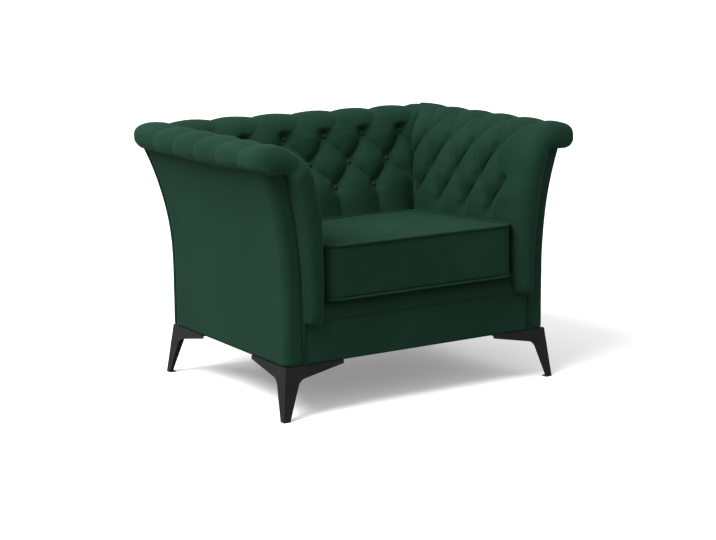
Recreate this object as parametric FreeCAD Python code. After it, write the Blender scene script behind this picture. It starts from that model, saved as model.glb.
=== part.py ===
import FreeCAD
import Part
import math
import os

# Chesterfield armchair in millimetres.
# X runs across the chair, +Y to the rear, +Z up. The floor is at zero height.
# Pieces are set out from the front face of the base, and moved back at the end
# so that the origin lies on the floor under the middle of the chair.

# Base and outer covers
base_width = 906.0
base_depth = 670.0
leg_height = 150.0
cover_thickness = 4.0
cover_play = 0.3
front_corner_radius = 35.0
rear_corner_radius = 18.0

# Heights above the underside of the base
border_height = 120.0
piping_flare_rise = 150.0
back_flare_rise = 150.0
arm_flare_rise = 210.0
deck_front_rise = 175.0
neck_rise = 550.0

# Flare of the outer arms and the outer back, up to the neck under the roll
arm_neck_flare = 59.0
back_neck_flare = 72.0
flare_steps = 5

# Piping on the arm fronts, set in from the side of the base
front_strip_width = 60.0
piping_diameter = 9.0
piping_flare = 48.0
piping_below_neck = 16.0
piping_turn_radius = 14.0

# Rolled top
roll_core_radius = 30.0
roll_above_neck = 28.0
roll_hump = 12.0
roll_corner_radius = 140.0
arm_roll_past_neck = 3.0
arm_roll_span = 50.0
arm_roll_start_angle = 135.0
arm_roll_end_angle = -80.0
back_roll_before_neck = 12.0
back_roll_span = 58.0
back_roll_start_angle = 160.0
back_roll_end_angle = -60.0
roll_side_angles = (40.0, -5.0)
roll_fade_start = 10.0
roll_fade_length = 60.0
corner_swell = 10.0
corner_end_swell = 5.0
corner_turns = (0.0, 22.0, 45.0, 68.0, 90.0)

# Tufted pads: rows of buttons from the lowest to the highest.
# Each row gives how far it lies outside the seat edge, how far below the neck, and its puff.
arm_base_thickness = 119.0
back_base_thickness = 150.0
arm_rows = ((18.0, 200.0, 18.0), (34.0, 105.0, 21.0), (62.0, 10.0, 22.0))
back_rows = ((47.0, 160.0, 26.0), (83.0, 88.0, 27.0), (115.0, 7.0, 25.0))
arm_tuft_pitch = 126.0
arm_first_tuft = 144.0
arm_tuft_count = 5
back_tuft_pitch = 144.0
button_diameter = 20.0
button_thickness = 8.0
button_gap = 0.2
tuft_width = 22.0
pleat_width = 8.0
puff_between_rows = 12.0
crease_rise = 8.0
low_pad_puff = 14.0
pad_thickness = 14.0
pad_foot_gap = 2.0
straight_pleat_drop = 245.0
swell_shoulder = 0.75
pad_front_overhang = 22.0
pad_nose_depth = 35.0
pad_nose_rest = 11.0
pad_front_wrap = 2.5
wrap_fullness = 0.85
roll_wrap_depth = 25.0
roll_end_depth = 12.0
roll_end_radius = 24.0
mitre_slope = 1.05
mitre_gap = 0.3

# Seat
cushion_side_gap = 2.0
cushion_rear_gap = 12.0
cushion_height = 150.0
cushion_front_overhang = 20.0
cushion_corner_radius = 35.0
cushion_crown = 12.0
cushion_side_draw = 3.0
cushion_least_bow = 0.5
cushion_rest_gap = 0.4
cushion_cover_thickness = 2.5
cushion_piping_diameter = 7.0
cushion_piping_stand = 4.9
deck_slope = 2.7
deck_play = 0.5
deck_cover_thickness = 2.0
deck_pad_thickness = 26.0
hessian_thickness = 1.5
edge_roll_depth = 60.0
edge_roll_shoulder = 27.0
edge_roll_draw = 3.2
edge_roll_seat = 6.5

# Zip along the rear of the cushion
zip_length = 560.0
zip_width = 14.0
zip_thickness = 1.6
zip_stand = 0.6
zip_slider_gap = 0.3
slider_length = 12.0
slider_width = 11.0
slider_thickness = 4.5
slider_corner = 3.3

# Wooden frame
rail_thickness = 22.0
base_rail_height = 112.0
ply_thickness = 18.0
post_size = 40.0
rear_post_rise = 450.0
frame_below_neck = 11.0
stem_width = 40.0
arm_stem_offset = 13.0
back_stem_offset = 28.0
frame_play = 1.0
panel_play = 2.0
rib_play = 8.0
top_rail_play = 3.0
panel_setbacks = (16.0, 18.0, 30.0)
arm_rib_front = 290.0
rib_gap = 15.0
tack_rail_height = 40.0
tack_rail_thickness = 20.0
corner_block_size = 70.0
frame_screw_diameter = 5.0
frame_screw_head = 10.0
frame_screw_length = 70.0
frame_screw_rises = (40.0, 80.0)
front_screw_sink = 16.0
side_screw_inset = 13.2
rear_screw_sink = 9.0

# Springs
spring_count = 5
spring_wire = 4.0
spring_bend_pitch = 40.0
spring_play = 0.1
spring_half_width = 26.0
clip_thickness = 1.5
clip_play = 0.1
clip_pad_gap = 0.4

# Legs
leg_arm_length = 190.0
leg_tip_height = 10.0
leg_shoulder_height = 35.0
leg_top_width = 44.0
leg_knee_run = 20.0
leg_knee_drop = 18.0
leg_knee_bend = 7.6
leg_knee_fall = 6.3
leg_foot_width = 21.0
leg_splay = 18.0
leg_plate_thickness = 4.0
leg_flange_width = 32.0
leg_flange_inset = 1.0
leg_flange_thickness = 3.0
leg_screw_diameter = 6.0
leg_screw_length = 28.0
leg_screw_spacing = 62.0
leg_screw_head = 12.0
leg_screw_head_height = 2.5
glide_thickness = 3.0
dust_cover_thickness = 1.5

# Values that follow from the ones above
diagonal = math.sqrt(0.5)
far = 1000.0
half_base = base_width / 2
half_seat = half_base - arm_base_thickness
seat_rear = base_depth - back_base_thickness
base_bottom = leg_height
border_top = base_bottom + border_height
pad_bottom_height = border_top + pad_foot_gap
piping_flare_start = base_bottom + piping_flare_rise
back_flare_start = base_bottom + back_flare_rise
arm_flare_start = base_bottom + arm_flare_rise
deck_front_height = base_bottom + deck_front_rise
neck_height = base_bottom + neck_rise
straight_pleat_height = neck_height - straight_pleat_drop
piping_top_height = neck_height - piping_below_neck
piping_half_spacing = half_base - front_strip_width
arm_neck = half_base + arm_neck_flare
back_neck = base_depth + back_neck_flare
roll_center_height = neck_height + roll_above_neck
arm_roll_outer_center = arm_neck + arm_roll_past_neck
arm_roll_inner_center = arm_roll_outer_center - arm_roll_span
back_roll_outer_center = back_neck - back_roll_before_neck
back_roll_inner_center = back_roll_outer_center - back_roll_span
roll_reach = roll_core_radius + roll_hump
rear_reach = back_roll_outer_center + roll_reach
corner_x = arm_roll_outer_center + roll_reach - roll_corner_radius
corner_y = rear_reach - roll_corner_radius
origin_y = (rear_reach - pad_front_overhang) / 2
cushion_half_width = half_seat - cushion_side_gap
cushion_depth = seat_rear - cushion_rear_gap + cushion_front_overhang
zip_face = cushion_depth - cushion_piping_stand - cushion_side_draw
deck_angle = math.radians(deck_slope)
deck_half_width = half_seat - deck_play
deck_rear = seat_rear - deck_play
deck_pad_drop = cushion_rest_gap + deck_cover_thickness
hessian_drop = deck_pad_drop + deck_pad_thickness
spring_top_drop = hessian_drop + hessian_thickness
spring_rail_drop = spring_top_drop + spring_wire + 2 * spring_play
spring_front = cover_thickness + rail_thickness / 2
spring_rear = seat_rear + low_pad_puff
spring_first = spring_front / math.cos(deck_angle)
spring_last = spring_rear / math.cos(deck_angle)
spring_bend_count = 2 * round((spring_last - spring_first) / spring_bend_pitch / 2 - 0.5) + 1
spring_bend_radius = (spring_last - spring_first) / (2 * spring_bend_count)
frame_bottom = base_bottom + dust_cover_thickness
frame_top = neck_height - frame_below_neck
rail_top = frame_bottom + base_rail_height
frame_side = half_base - cover_thickness
frame_rear = base_depth - cover_thickness
pad_back = half_seat + low_pad_puff + pad_thickness + frame_play
back_pad_rear = seat_rear + low_pad_puff + pad_thickness + frame_play


def point(x, y, z):
    return FreeCAD.Vector(x, y, z)


def line(start, end):
    return Part.LineSegment(start, end).toShape()


def arc(start, middle, end):
    return Part.Arc(start, middle, end).toShape()


def box(low, high):
    size = high - low
    return Part.makeBox(size.x, size.y, size.z, low)


def prism(corners, direction):
    loop = Part.makePolygon(list(corners) + [corners[0]])
    return Part.Face(loop).extrude(direction)


def rod(radius, start, end):
    axis = end - start
    return Part.makeCylinder(radius, axis.Length, start, axis)


def mirrored(shape):
    return shape.mirror(point(0, 0, 0), point(1, 0, 0))


def save(name, solids):
    shape = Part.makeCompound(solids)
    shape.translate(point(0, -origin_y, 0))
    shape.exportStep("parts/" + name + ".step")


def save_pair(name, solids):
    save(name + "_right", solids)
    save(name + "_left", [mirrored(solid) for solid in solids])


def flare(height, start, top, reach):
    # One arc that leaves the upright line at start and is reach further out at top.
    if height <= start:
        return 0.0
    rise = top - start
    radius = (reach * reach + rise * rise) / (2 * reach)
    above = height - start
    return radius - math.sqrt(radius * radius - above * above)


def outer_arm(height):
    return half_base + flare(height, arm_flare_start, neck_height, arm_neck_flare)


def outer_back(height):
    return base_depth + flare(height, back_flare_start, neck_height, back_neck_flare)


def piping_line(height):
    return piping_half_spacing + flare(height, piping_flare_start, piping_top_height, piping_flare)


def cover_levels(bottom):
    start = min(arm_flare_start, back_flare_start)
    step = (neck_height - start) / flare_steps
    return [bottom] + [start + step * index for index in range(flare_steps + 1)]


def ruled_solid(sections):
    # Skin over matching closed sections, with a flat cap at each end.
    faces = [Part.Face(Part.Wire(sections[0]))]
    for low, high in zip(sections, sections[1:]):
        for low_edge, high_edge in zip(low, high):
            faces.append(Part.makeRuledSurface(low_edge, high_edge))
    faces.append(Part.Face(Part.Wire(sections[-1])))
    shell = Part.makeShell(faces)
    shell.sewShape()
    solid = Part.makeSolid(shell)
    if solid.Volume < 0:
        solid.reverse()
    return solid


# Outer covers

def outer_arm_section(height):
    # The cover's plan outline: front strip, round front corner, then the long side.
    outer = outer_arm(height)
    inner = outer - cover_thickness
    edge = piping_line(height) + piping_diameter / 2 + cover_play
    radius = front_corner_radius
    small = radius - cover_thickness
    rear = outer_back(height) - rear_corner_radius
    center = point(outer - radius, radius, height)
    outer_middle = center + point(radius * diagonal, -radius * diagonal, 0)
    inner_middle = center + point(small * diagonal, -small * diagonal, 0)
    strip_front = point(edge, 0, height)
    strip_back = point(edge, cover_thickness, height)
    return [
        line(strip_front, point(outer - radius, 0, height)),
        arc(point(outer - radius, 0, height), outer_middle, point(outer, radius, height)),
        line(point(outer, radius, height), point(outer, rear, height)),
        line(point(outer, rear, height), point(inner, rear, height)),
        line(point(inner, rear, height), point(inner, radius, height)),
        arc(point(inner, radius, height), inner_middle, point(outer - radius, cover_thickness, height)),
        line(point(outer - radius, cover_thickness, height), strip_back),
        line(strip_back, strip_front),
    ]


def outer_arm_cover():
    cover = ruled_solid([outer_arm_section(height) for height in cover_levels(base_bottom)])
    crown, end = piping_points()[-2:]
    above_piping = box(crown - point(piping_diameter, 1, 0), point(end.x, front_corner_radius, far))
    return cover.cut(above_piping).cut(arm_front_piping())


def outer_back_section(height):
    side = outer_arm(height)
    rear = outer_back(height)
    radius = rear_corner_radius
    inner_rear = rear - cover_thickness
    inner_side = side - cover_thickness
    small = radius - cover_thickness
    right_center = point(side - radius, rear - radius, height)
    left_center = point(radius - side, rear - radius, height)
    outer_right = right_center + point(radius * diagonal, radius * diagonal, 0)
    outer_left = left_center + point(-radius * diagonal, radius * diagonal, 0)
    inner_right = right_center + point(small * diagonal, small * diagonal, 0)
    inner_left = left_center + point(-small * diagonal, small * diagonal, 0)
    right_seam = point(side, rear - radius, height)
    left_seam = point(-side, rear - radius, height)
    right_back = point(inner_side, rear - radius, height)
    left_back = point(-inner_side, rear - radius, height)
    return [
        arc(right_seam, outer_right, point(side - radius, rear, height)),
        line(point(side - radius, rear, height), point(radius - side, rear, height)),
        arc(point(radius - side, rear, height), outer_left, left_seam),
        line(left_seam, left_back),
        arc(left_back, inner_left, point(radius - side, inner_rear, height)),
        line(point(radius - side, inner_rear, height), point(side - radius, inner_rear, height)),
        arc(point(side - radius, inner_rear, height), inner_right, right_back),
        line(right_back, right_seam),
    ]


def outer_back_cover():
    return ruled_solid([outer_back_section(height) for height in cover_levels(base_bottom)])


def front_border_cover():
    half = piping_half_spacing - piping_diameter / 2
    return box(point(-half, 0, base_bottom), point(half, cover_thickness, border_top))


def piping_points():
    # Along the middle of the cord: flare start and middle, flare top, bend, crown, end.
    start = point(piping_half_spacing, 0, piping_flare_start)
    middle_height = (piping_flare_start + piping_top_height) / 2
    middle = point(piping_line(middle_height), 0, middle_height)
    top = point(piping_line(piping_top_height), 0, piping_top_height)
    lean = 2 * math.atan(piping_flare / (piping_top_height - piping_flare_start))
    radius = piping_turn_radius
    center = top + point(radius * math.cos(lean), 0, -radius * math.sin(lean))
    half_turn = (math.pi - lean + math.pi / 2) / 2
    bend = center + point(radius * math.cos(half_turn), 0, radius * math.sin(half_turn))
    crown = center + point(0, 0, radius)
    end = point(arm_neck - piping_diameter, 0, crown.z)
    return start, middle, top, bend, crown, end


def arm_front_piping():
    # A welt cord up the arm front that bends outwards and ends under the roll.
    start, middle, top, bend, crown, end = piping_points()
    low = point(piping_half_spacing, 0, base_bottom)
    spine = Part.Wire([line(low, start), arc(start, middle, top), arc(top, bend, crown), line(crown, end)])
    circle = Part.Circle(low, point(0, 0, 1), piping_diameter / 2).toShape()
    return spine.makePipeShell([Part.Wire(circle)], True, False)


# Tufted pads

class Station:
    # One cross line of a pad: where its creases lie and how its fabric swells there.
    # Low says which tufts are drawn in: the outer rows, the middle row, or neither.
    def __init__(self, across, height, low, puff):
        self.across = across
        self.height = height
        self.low = low
        self.puff = puff
        self.base = crease_rise if low == "none" else 0.0
        self.normal = None
        self.on_roll = False
        self.wrap = None

    def level(self):
        # Height of the fabric on a smooth stretch.
        return self.base + self.puff


def roll_stations(inner_center, outer_center, start_angle, end_angle):
    turns = [(inner_center, start_angle), (inner_center, 90.0), (outer_center, 90.0)]
    turns += [(outer_center, degrees) for degrees in roll_side_angles]
    turns += [(outer_center, (end_angle + roll_side_angles[-1]) / 2), (outer_center, end_angle)]
    stations = []
    for center, degrees in turns:
        turn = math.radians(degrees)
        across = center + roll_core_radius * math.cos(turn)
        height = roll_center_height + roll_core_radius * math.sin(turn)
        fade = min(1.0, (degrees - end_angle + roll_fade_start) / roll_fade_length)
        station = Station(across, height, "outer", roll_hump * fade)
        station.normal = (math.cos(turn), math.sin(turn))
        station.on_roll = True
        stations.append(station)
    return stations


def placed_rows(rows):
    # The rows with their heights above the floor in place of their drop below the neck.
    return [(setback, neck_height - drop, puff) for setback, drop, puff in rows]


def pad_stations(seat_edge, bottom, rows, roll):
    foot = seat_edge + low_pad_puff
    stations = [Station(foot, bottom, "outer", low_pad_puff)]
    stations.append(Station(foot, straight_pleat_height, "outer", low_pad_puff))
    rows = placed_rows(rows)
    for index, (setback, height, puff) in enumerate(rows):
        if index > 0:
            across = seat_edge + (rows[index - 1][0] + setback) / 2
            between = (rows[index - 1][1] + height) / 2
            stations.append(Station(across, between, "none", puff_between_rows))
        low = "middle" if index == 1 else "outer"
        stations.append(Station(seat_edge + setback, height, low, puff))
    last = stations[-1]
    across = (last.across + roll[0].across) / 2
    height = (last.height + roll[0].height) / 2
    stations.append(Station(across, height, "outer", (last.puff + roll_hump) / 2))
    flat = len(stations)
    stations += roll
    for index in range(flat):
        before = stations[max(index - 1, 0)]
        after = stations[index + 1]
        run = after.across - before.across
        rise = after.height - before.height
        length = math.hypot(run, rise)
        stations[index].normal = (-rise / length, run / length)
    return stations


def wrap_on_piping(station):
    # Where the fabric of a flat stretch, turned round the arm front, meets the piping.
    nx, nz = station.normal
    depth = pad_thickness
    for _ in range(4):
        edge = piping_line(station.height - nz * depth) - piping_diameter / 4
        depth = (edge - station.across) / -nx
    return station.across - nx * depth, station.height - nz * depth


def arm_stations():
    angles = (arm_roll_start_angle, arm_roll_end_angle)
    roll = roll_stations(arm_roll_inner_center, arm_roll_outer_center, *angles)
    stations = pad_stations(half_seat, pad_bottom_height, arm_rows, roll)
    flat = stations[:-len(roll)]
    for station in flat:
        station.wrap = wrap_on_piping(station)
    bend = piping_points()[-3]
    flat[-1].wrap = (bend.x, bend.z)
    for station in roll:
        nx, nz = station.normal
        station.wrap = (station.across - nx * roll_wrap_depth, station.height - nz * roll_wrap_depth)
    return stations


def back_stations():
    angles = (back_roll_start_angle, back_roll_end_angle)
    roll = roll_stations(back_roll_inner_center, back_roll_outer_center, *angles)
    # The foot stands clear of the clips at the springs' rear ends.
    bottom = spring_clip_low(spring_rear) + spring_wire + clip_thickness + clip_pad_gap
    return pad_stations(seat_rear, bottom, back_rows, roll)


def swell(start, end, base, puff, place):
    if puff == 0.0:
        return line(place(start, base), place(end, base))
    return arc(place(start, base), place((start + end) / 2, base + puff), place(end, base))


def half_swell(start, high, end, base, place):
    # From a smooth stretch at full height down into a crease.
    middle = place((start + end) / 2, base + (high - base) * swell_shoulder)
    return arc(place(start, high), middle, place(end, base))


def outer_tuft_width(station, pitch):
    # How much of the pitch belongs to the tufts of the outer rows at this station.
    if station.low == "none":
        return pitch / 2
    if station.low == "middle":
        return pitch - tuft_width
    return pleat_width if station.on_roll else tuft_width


def tuft_edges(station, tufts, pitch, place):
    # Creases and swells from the first outer tuft to the last one.
    width = outer_tuft_width(station, pitch)
    outer_puff = 0.0 if station.low == "outer" else station.puff
    inner_puff = 0.0 if station.low == "middle" else station.puff
    edges = []
    for tuft in tufts:
        edges.append(swell(tuft - width / 2, tuft + width / 2, station.base, outer_puff, place))
        if tuft != tufts[-1]:
            edges.append(swell(tuft + width / 2, tuft + pitch - width / 2, station.base, inner_puff, place))
    return edges


def arm_pad_section(station):
    def place(along, out):
        nx, nz = station.normal
        return point(station.across + nx * out, along, station.height + nz * out)

    tufts = [arm_first_tuft + arm_tuft_pitch * index for index in range(arm_tuft_count + 1)]
    tufted = tuft_edges(station, tufts, arm_tuft_pitch, place)
    top = station.level()
    base = station.base
    wrap_x, wrap_z = station.wrap
    depth = math.hypot(station.across - wrap_x, station.height - wrap_z)
    front = -pad_front_overhang
    corner = min(depth + top - pad_nose_rest, pad_nose_depth)
    extra = arm_first_tuft - arm_tuft_pitch / 2
    first_crease = arm_first_tuft - outer_tuft_width(station, arm_tuft_pitch) / 2
    last_crease = tufts[-1] + outer_tuft_width(station, arm_tuft_pitch) / 2
    if station.low == "outer":
        lead = line(place(-front, top), place(extra, top))
        second = half_swell(extra, top, first_crease, base, place)
    elif station.low == "middle":
        lead = half_swell(-front, top, extra - tuft_width / 2, base, place)
        second = line(place(extra - tuft_width / 2, base), place(first_crease, base))
    else:
        lead = half_swell(-front, top, extra - arm_tuft_pitch / 4, base, place)
        second = swell(extra - arm_tuft_pitch / 4, first_crease, base, station.puff, place)
    bend = place(-front + 2 * front * diagonal, top - corner * (1 - diagonal))
    nose = place(front, top - corner)
    wrap_end = point(wrap_x, -pad_front_wrap, wrap_z)
    wrap_middle = (nose + wrap_end) * 0.5
    wrap_middle.y = front * wrap_fullness
    back = cover_thickness
    inner_front = place(back, -pad_thickness)
    wrap_back = point(wrap_x, back, wrap_z)
    return [
        arc(wrap_end, wrap_middle, nose),
        arc(nose, bend, place(-front, top)),
        lead,
        second,
    ] + tufted + [
        line(place(last_crease, base), place(last_crease, -pad_thickness)),
        line(place(last_crease, -pad_thickness), inner_front),
        line(inner_front, wrap_back),
        line(wrap_back, wrap_end),
    ]


def back_pad_section(station):
    def place(along, out):
        ny, nz = station.normal
        return point(along, station.across + ny * out, station.height + nz * out)

    side_count = math.ceil(arm_roll_outer_center / back_tuft_pitch)
    tufts = [back_tuft_pitch * (index - side_count + 0.5) for index in range(2 * side_count)]
    tufted = tuft_edges(station, tufts, back_tuft_pitch, place)
    end = tufts[-1] + outer_tuft_width(station, back_tuft_pitch) / 2
    return tufted + [
        line(place(end, station.base), place(end, -pad_thickness)),
        line(place(end, -pad_thickness), place(-end, -pad_thickness)),
        line(place(-end, -pad_thickness), place(-end, station.base)),
    ]


def behind_mitre(shift):
    # Everything behind the right mitre line, moved back by shift.
    start = point(half_seat - far, seat_rear - far * mitre_slope + shift, 0)
    end = point(half_seat + far, seat_rear + far * mitre_slope + shift, 0)
    reach = point(0, 3 * far, 0)
    return prism([start, end, end + reach, start + reach], point(0, 0, far))


def corner_section(degrees, swelling):
    # Upright outline of the roll where it turns the rear corner, at one plan angle.
    turn = math.radians(degrees)
    share = degrees / 90.0
    arm_inner = arm_roll_inner_center - corner_x
    back_inner = back_roll_inner_center - corner_y
    inner = arm_inner + (back_inner - arm_inner) * share
    outer = roll_corner_radius - roll_reach
    radius = roll_core_radius + swelling

    def place(reach, height):
        return point(corner_x + reach * math.cos(turn), corner_y + reach * math.sin(turn), height)

    top = roll_center_height + radius
    foot_angle = math.asin((neck_height - roll_center_height) / radius)
    foot = radius * math.cos(foot_angle)
    half = (math.pi / 2 + foot_angle) / 2
    side = radius * math.cos(half)
    middle = roll_center_height + radius * math.sin(half)
    return [
        line(place(outer + foot, neck_height), place(inner - foot, neck_height)),
        arc(place(inner - foot, neck_height), place(inner - side, middle), place(inner, top)),
        line(place(inner, top), place(outer, top)),
        arc(place(outer, top), place(outer + side, middle), place(outer + foot, neck_height)),
    ]


def roll_corner():
    # Drawn in at both ends and along the mitre, swelled out between them.
    sections = []
    for index, degrees in enumerate(corner_turns):
        sections.append(corner_section(degrees, corner_swell if index % 2 else corner_end_swell))
    return ruled_solid(sections)


def roll_front():
    # Fills the front of the arm's roll, down to the cord that runs under it.
    bend, crown, end = piping_points()[-3:]
    radius = roll_end_radius
    inner, outer, height = arm_roll_inner_center, arm_roll_outer_center, roll_center_height
    low = height - (roll_core_radius + radius) / 2
    corners = [
        bend,
        crown,
        end,
        point(outer, 0, low),
        point(outer + radius, 0, height),
        point(outer, 0, height + radius),
        point(inner, 0, height + radius),
        point(inner - radius / 2, 0, height),
    ]
    shifted = [corner - point(0, roll_end_depth, 0) for corner in corners]
    return prism(shifted, point(0, roll_end_depth + cover_thickness, 0)).cut(arm_front_piping())


def arm_pad():
    pad = ruled_solid([arm_pad_section(station) for station in arm_stations()])
    behind = behind_mitre(-mitre_gap)
    over_corner = box(point(corner_x, 0, neck_height), point(far, far, far))
    beyond = box(point(0, corner_y, 0), point(far, far, far))
    pad = pad.cut(behind.cut(over_corner)).cut(beyond).cut(arm_front_piping())
    pad = pad.fuse(roll_corner().cut(behind)).fuse(roll_front())
    return pocketed(pad, arm_button_places())


def back_pad():
    pad = ruled_solid([back_pad_section(station) for station in back_stations()])
    behind = behind_mitre(mitre_gap)
    corner = roll_corner().common(behind)
    beyond = box(point(corner_x - mitre_gap, 0, neck_height), point(far, far, far))
    pad = pad.common(behind).common(mirrored(behind)).cut(beyond).cut(mirrored(beyond))
    pad = pad.fuse(corner).fuse(mirrored(corner))
    return pocketed(pad, back_button_places())


# Buttons

def button(center, normal):
    # A domed, fabric-covered button that sits on the drawn-in fabric.
    radius = button_diameter / 2
    dome = button_thickness / 2
    rim = button_thickness / 4
    ball = (radius * radius + dome * dome) / (2 * dome)
    half_angle = math.asin(radius / ball) / 2
    drop = rim + dome - ball
    middle = point(ball * math.sin(half_angle), 0, drop + ball * math.cos(half_angle))
    outline = Part.Wire([
        line(point(0, 0, 0), point(radius, 0, 0)),
        line(point(radius, 0, 0), point(radius, 0, rim)),
        arc(point(radius, 0, rim), middle, point(0, 0, rim + dome)),
        line(point(0, 0, rim + dome), point(0, 0, 0)),
    ])
    solid = Part.Face(outline).revolve(point(0, 0, 0), point(0, 0, 1), 360)
    if solid.Volume < 0:
        solid.reverse()
    turned = FreeCAD.Rotation(point(0, 0, 1), normal)
    solid.Placement = FreeCAD.Placement(center + normal * button_gap, turned)
    return solid


def pocketed(pad, places):
    # The buttons press round pockets into the swells of the pad.
    for center, normal in places:
        start = center + normal * button_gap
        end = start + normal * (button_thickness + button_diameter)
        pad = pad.cut(rod(button_diameter / 2 + button_gap, start, end))
    return pad


def arm_button_places():
    normals = {station.height: station.normal for station in arm_stations()}
    places = []
    for row, (setback, height, _) in enumerate(placed_rows(arm_rows)):
        nx, nz = normals[height]
        first = arm_first_tuft - arm_tuft_pitch / 2 if row == 1 else arm_first_tuft
        last = seat_rear + setback * mitre_slope - 2 * tuft_width
        count = 1 + int((last - first) / arm_tuft_pitch)
        for index in range(count):
            center = point(half_seat + setback, first + arm_tuft_pitch * index, height)
            places.append((center, point(nx, 0, nz)))
    return places


def back_button_places():
    normals = {station.height: station.normal for station in back_stations()}
    places = []
    for row, (setback, height, _) in enumerate(placed_rows(back_rows)):
        ny, nz = normals[height]
        limit = half_seat + setback / mitre_slope - 2 * tuft_width
        offset = 0.0 if row == 1 else back_tuft_pitch / 2
        steps = int((limit - offset) / back_tuft_pitch)
        right = [offset + back_tuft_pitch * index for index in range(steps + 1)]
        left = [-across for across in right if across > 0.0]
        for across in left + right:
            places.append((point(across, seat_rear + setback, height), point(0, ny, nz)))
    return places


# Seat deck

def deck_height(along):
    # The sloping plane on which the cushion rests.
    return deck_front_height - (along + cushion_front_overhang) * math.tan(deck_angle)


def sloping_slab(start, end, drop, thickness):
    # A flat layer that follows the slope of the seat, its top at drop below the cushion.
    corners = [
        point(-deck_half_width, start, deck_height(start) - drop),
        point(-deck_half_width, end, deck_height(end) - drop),
        point(-deck_half_width, end, deck_height(end) - drop - thickness),
        point(-deck_half_width, start, deck_height(start) - drop - thickness),
    ]
    return prism(corners, point(2 * deck_half_width, 0, 0))


def deck_cover():
    return sloping_slab(edge_roll_depth, deck_rear, cushion_rest_gap, deck_cover_thickness)


def deck_pad():
    return sloping_slab(edge_roll_depth, deck_rear, deck_pad_drop, deck_pad_thickness)


def spring_hessian():
    return sloping_slab(edge_roll_depth, deck_rear, hessian_drop, hessian_thickness)


def front_edge_roll():
    # The soft lip in front of the deck, whose cover runs down to the border's seam.
    low = border_top
    shelf = deck_height(0) - spring_rail_drop + edge_roll_seat
    top = deck_height(edge_roll_shoulder) - cushion_rest_gap
    rear_top = deck_height(edge_roll_depth) - cushion_rest_gap
    belly = point(0, edge_roll_draw, (low + top) / 2)
    corners = [
        point(0, edge_roll_shoulder, top),
        point(0, edge_roll_depth, rear_top),
        point(0, edge_roll_depth, shelf),
        point(0, cover_thickness, shelf),
        point(0, cover_thickness, low),
        point(0, 0, low),
    ]
    edges = [line(start, end) for start, end in zip(corners, corners[1:])]
    edges.append(arc(corners[-1], belly, corners[0]))
    outline = Part.Wire(edges)
    outline.translate(point(-deck_half_width, 0, 0))
    return Part.Face(outline).extrude(point(2 * deck_half_width, 0, 0))


# Loose cushion, made level with its front edge at zero, then laid on the deck

def corner_inset(distance):
    # How far the cushion's front edge draws back at a distance from its side.
    beyond = max(0.0, cushion_corner_radius - distance)
    return cushion_corner_radius - math.sqrt(cushion_corner_radius ** 2 - beyond ** 2)


def cushion_section(across, half_width, shrink):
    # Upright outline of the cushion at one distance from its middle.
    ratio = abs(across) / half_width
    inset = corner_inset(half_width - abs(across))
    crown = cushion_crown * (1 - ratio ** 2.5) + cushion_least_bow
    draw = cushion_side_draw * (1 - ratio ** 8) + cushion_least_bow
    front = inset + shrink
    rear = cushion_depth - inset - shrink
    low = shrink
    high = cushion_height - shrink
    middle = (front + rear) / 2
    half = cushion_height / 2
    return [
        line(point(across, front, low), point(across, rear, low)),
        arc(point(across, rear, low), point(across, rear - draw, half), point(across, rear, high)),
        arc(point(across, rear, high), point(across, middle, high + crown), point(across, front, high)),
        arc(point(across, front, high), point(across, front + draw, half), point(across, front, low)),
    ]


def cushion_form(shrink):
    half_width = cushion_half_width - shrink
    flat = half_width - cushion_corner_radius
    places = [0.0, flat / 2, flat * 0.85, flat]
    places += [half_width - cushion_corner_radius * share for share in (0.45, 0.12, 0.0)]
    spread = [-place for place in reversed(places[1:])] + places
    return ruled_solid([cushion_section(across, half_width, shrink) for across in spread])


def seat_in_place(shape):
    moved = shape.copy()
    moved.rotate(point(0, 0, 0), point(1, 0, 0), -deck_slope)
    moved.translate(point(0, -cushion_front_overhang, deck_front_height))
    return moved


def cushion_foam():
    return cushion_form(cushion_piping_stand + cushion_cover_thickness)


def cushion_cover():
    cover = cushion_form(cushion_piping_stand).cut(cushion_foam())
    for cord in cushion_piping():
        cover = cover.cut(cord)
    return cover.cut(cushion_zip())


def cushion_piping():
    low = cushion_piping_diameter / 2
    return [welt_loop(low), welt_loop(cushion_height - low)]


def welt_loop(height):
    # A round cord that runs once round an edge of the cushion.
    radius = cushion_piping_diameter / 2
    side = cushion_half_width - radius
    front = radius
    rear = cushion_depth - radius
    bend = cushion_corner_radius
    cut = bend * (1 - diagonal)
    front_middle = point(side - cut, front + cut, height)
    rear_middle = point(side - cut, rear - cut, height)
    right_side = [
        line(point(0, front, height), point(side - bend, front, height)),
        arc(point(side - bend, front, height), front_middle, point(side, front + bend, height)),
        line(point(side, front + bend, height), point(side, rear - bend, height)),
        arc(point(side, rear - bend, height), rear_middle, point(side - bend, rear, height)),
        line(point(side - bend, rear, height), point(0, rear, height)),
    ]
    circle = Part.Circle(point(0, front, height), point(1, 0, 0), radius).toShape()
    half = Part.Wire(right_side).makePipeShell([Part.Wire(circle)], True, False)
    return half.fuse(mirrored(half)).removeSplitter()


def cushion_zip():
    low = point(-zip_length / 2, zip_face - zip_thickness, (cushion_height - zip_width) / 2)
    high = point(zip_length / 2, zip_face + zip_stand, (cushion_height + zip_width) / 2)
    return box(low, high)


def zip_slider():
    # The slider rests at the zip's left end, just clear of the teeth.
    near = zip_face + zip_stand + zip_slider_gap
    low = point(-zip_length / 2, near, (cushion_height - slider_width) / 2)
    body = box(low, low + point(slider_length, slider_thickness, slider_width))
    upright = [edge for edge in body.Edges if abs(edge.Vertexes[0].Y - edge.Vertexes[-1].Y) > 1]
    return body.makeFillet(slider_corner, upright)


# Springs under the seat

def spring_places():
    gap = 2 * half_seat / spring_count
    return [gap * (index - (spring_count - 1) / 2) for index in range(spring_count)]


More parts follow.
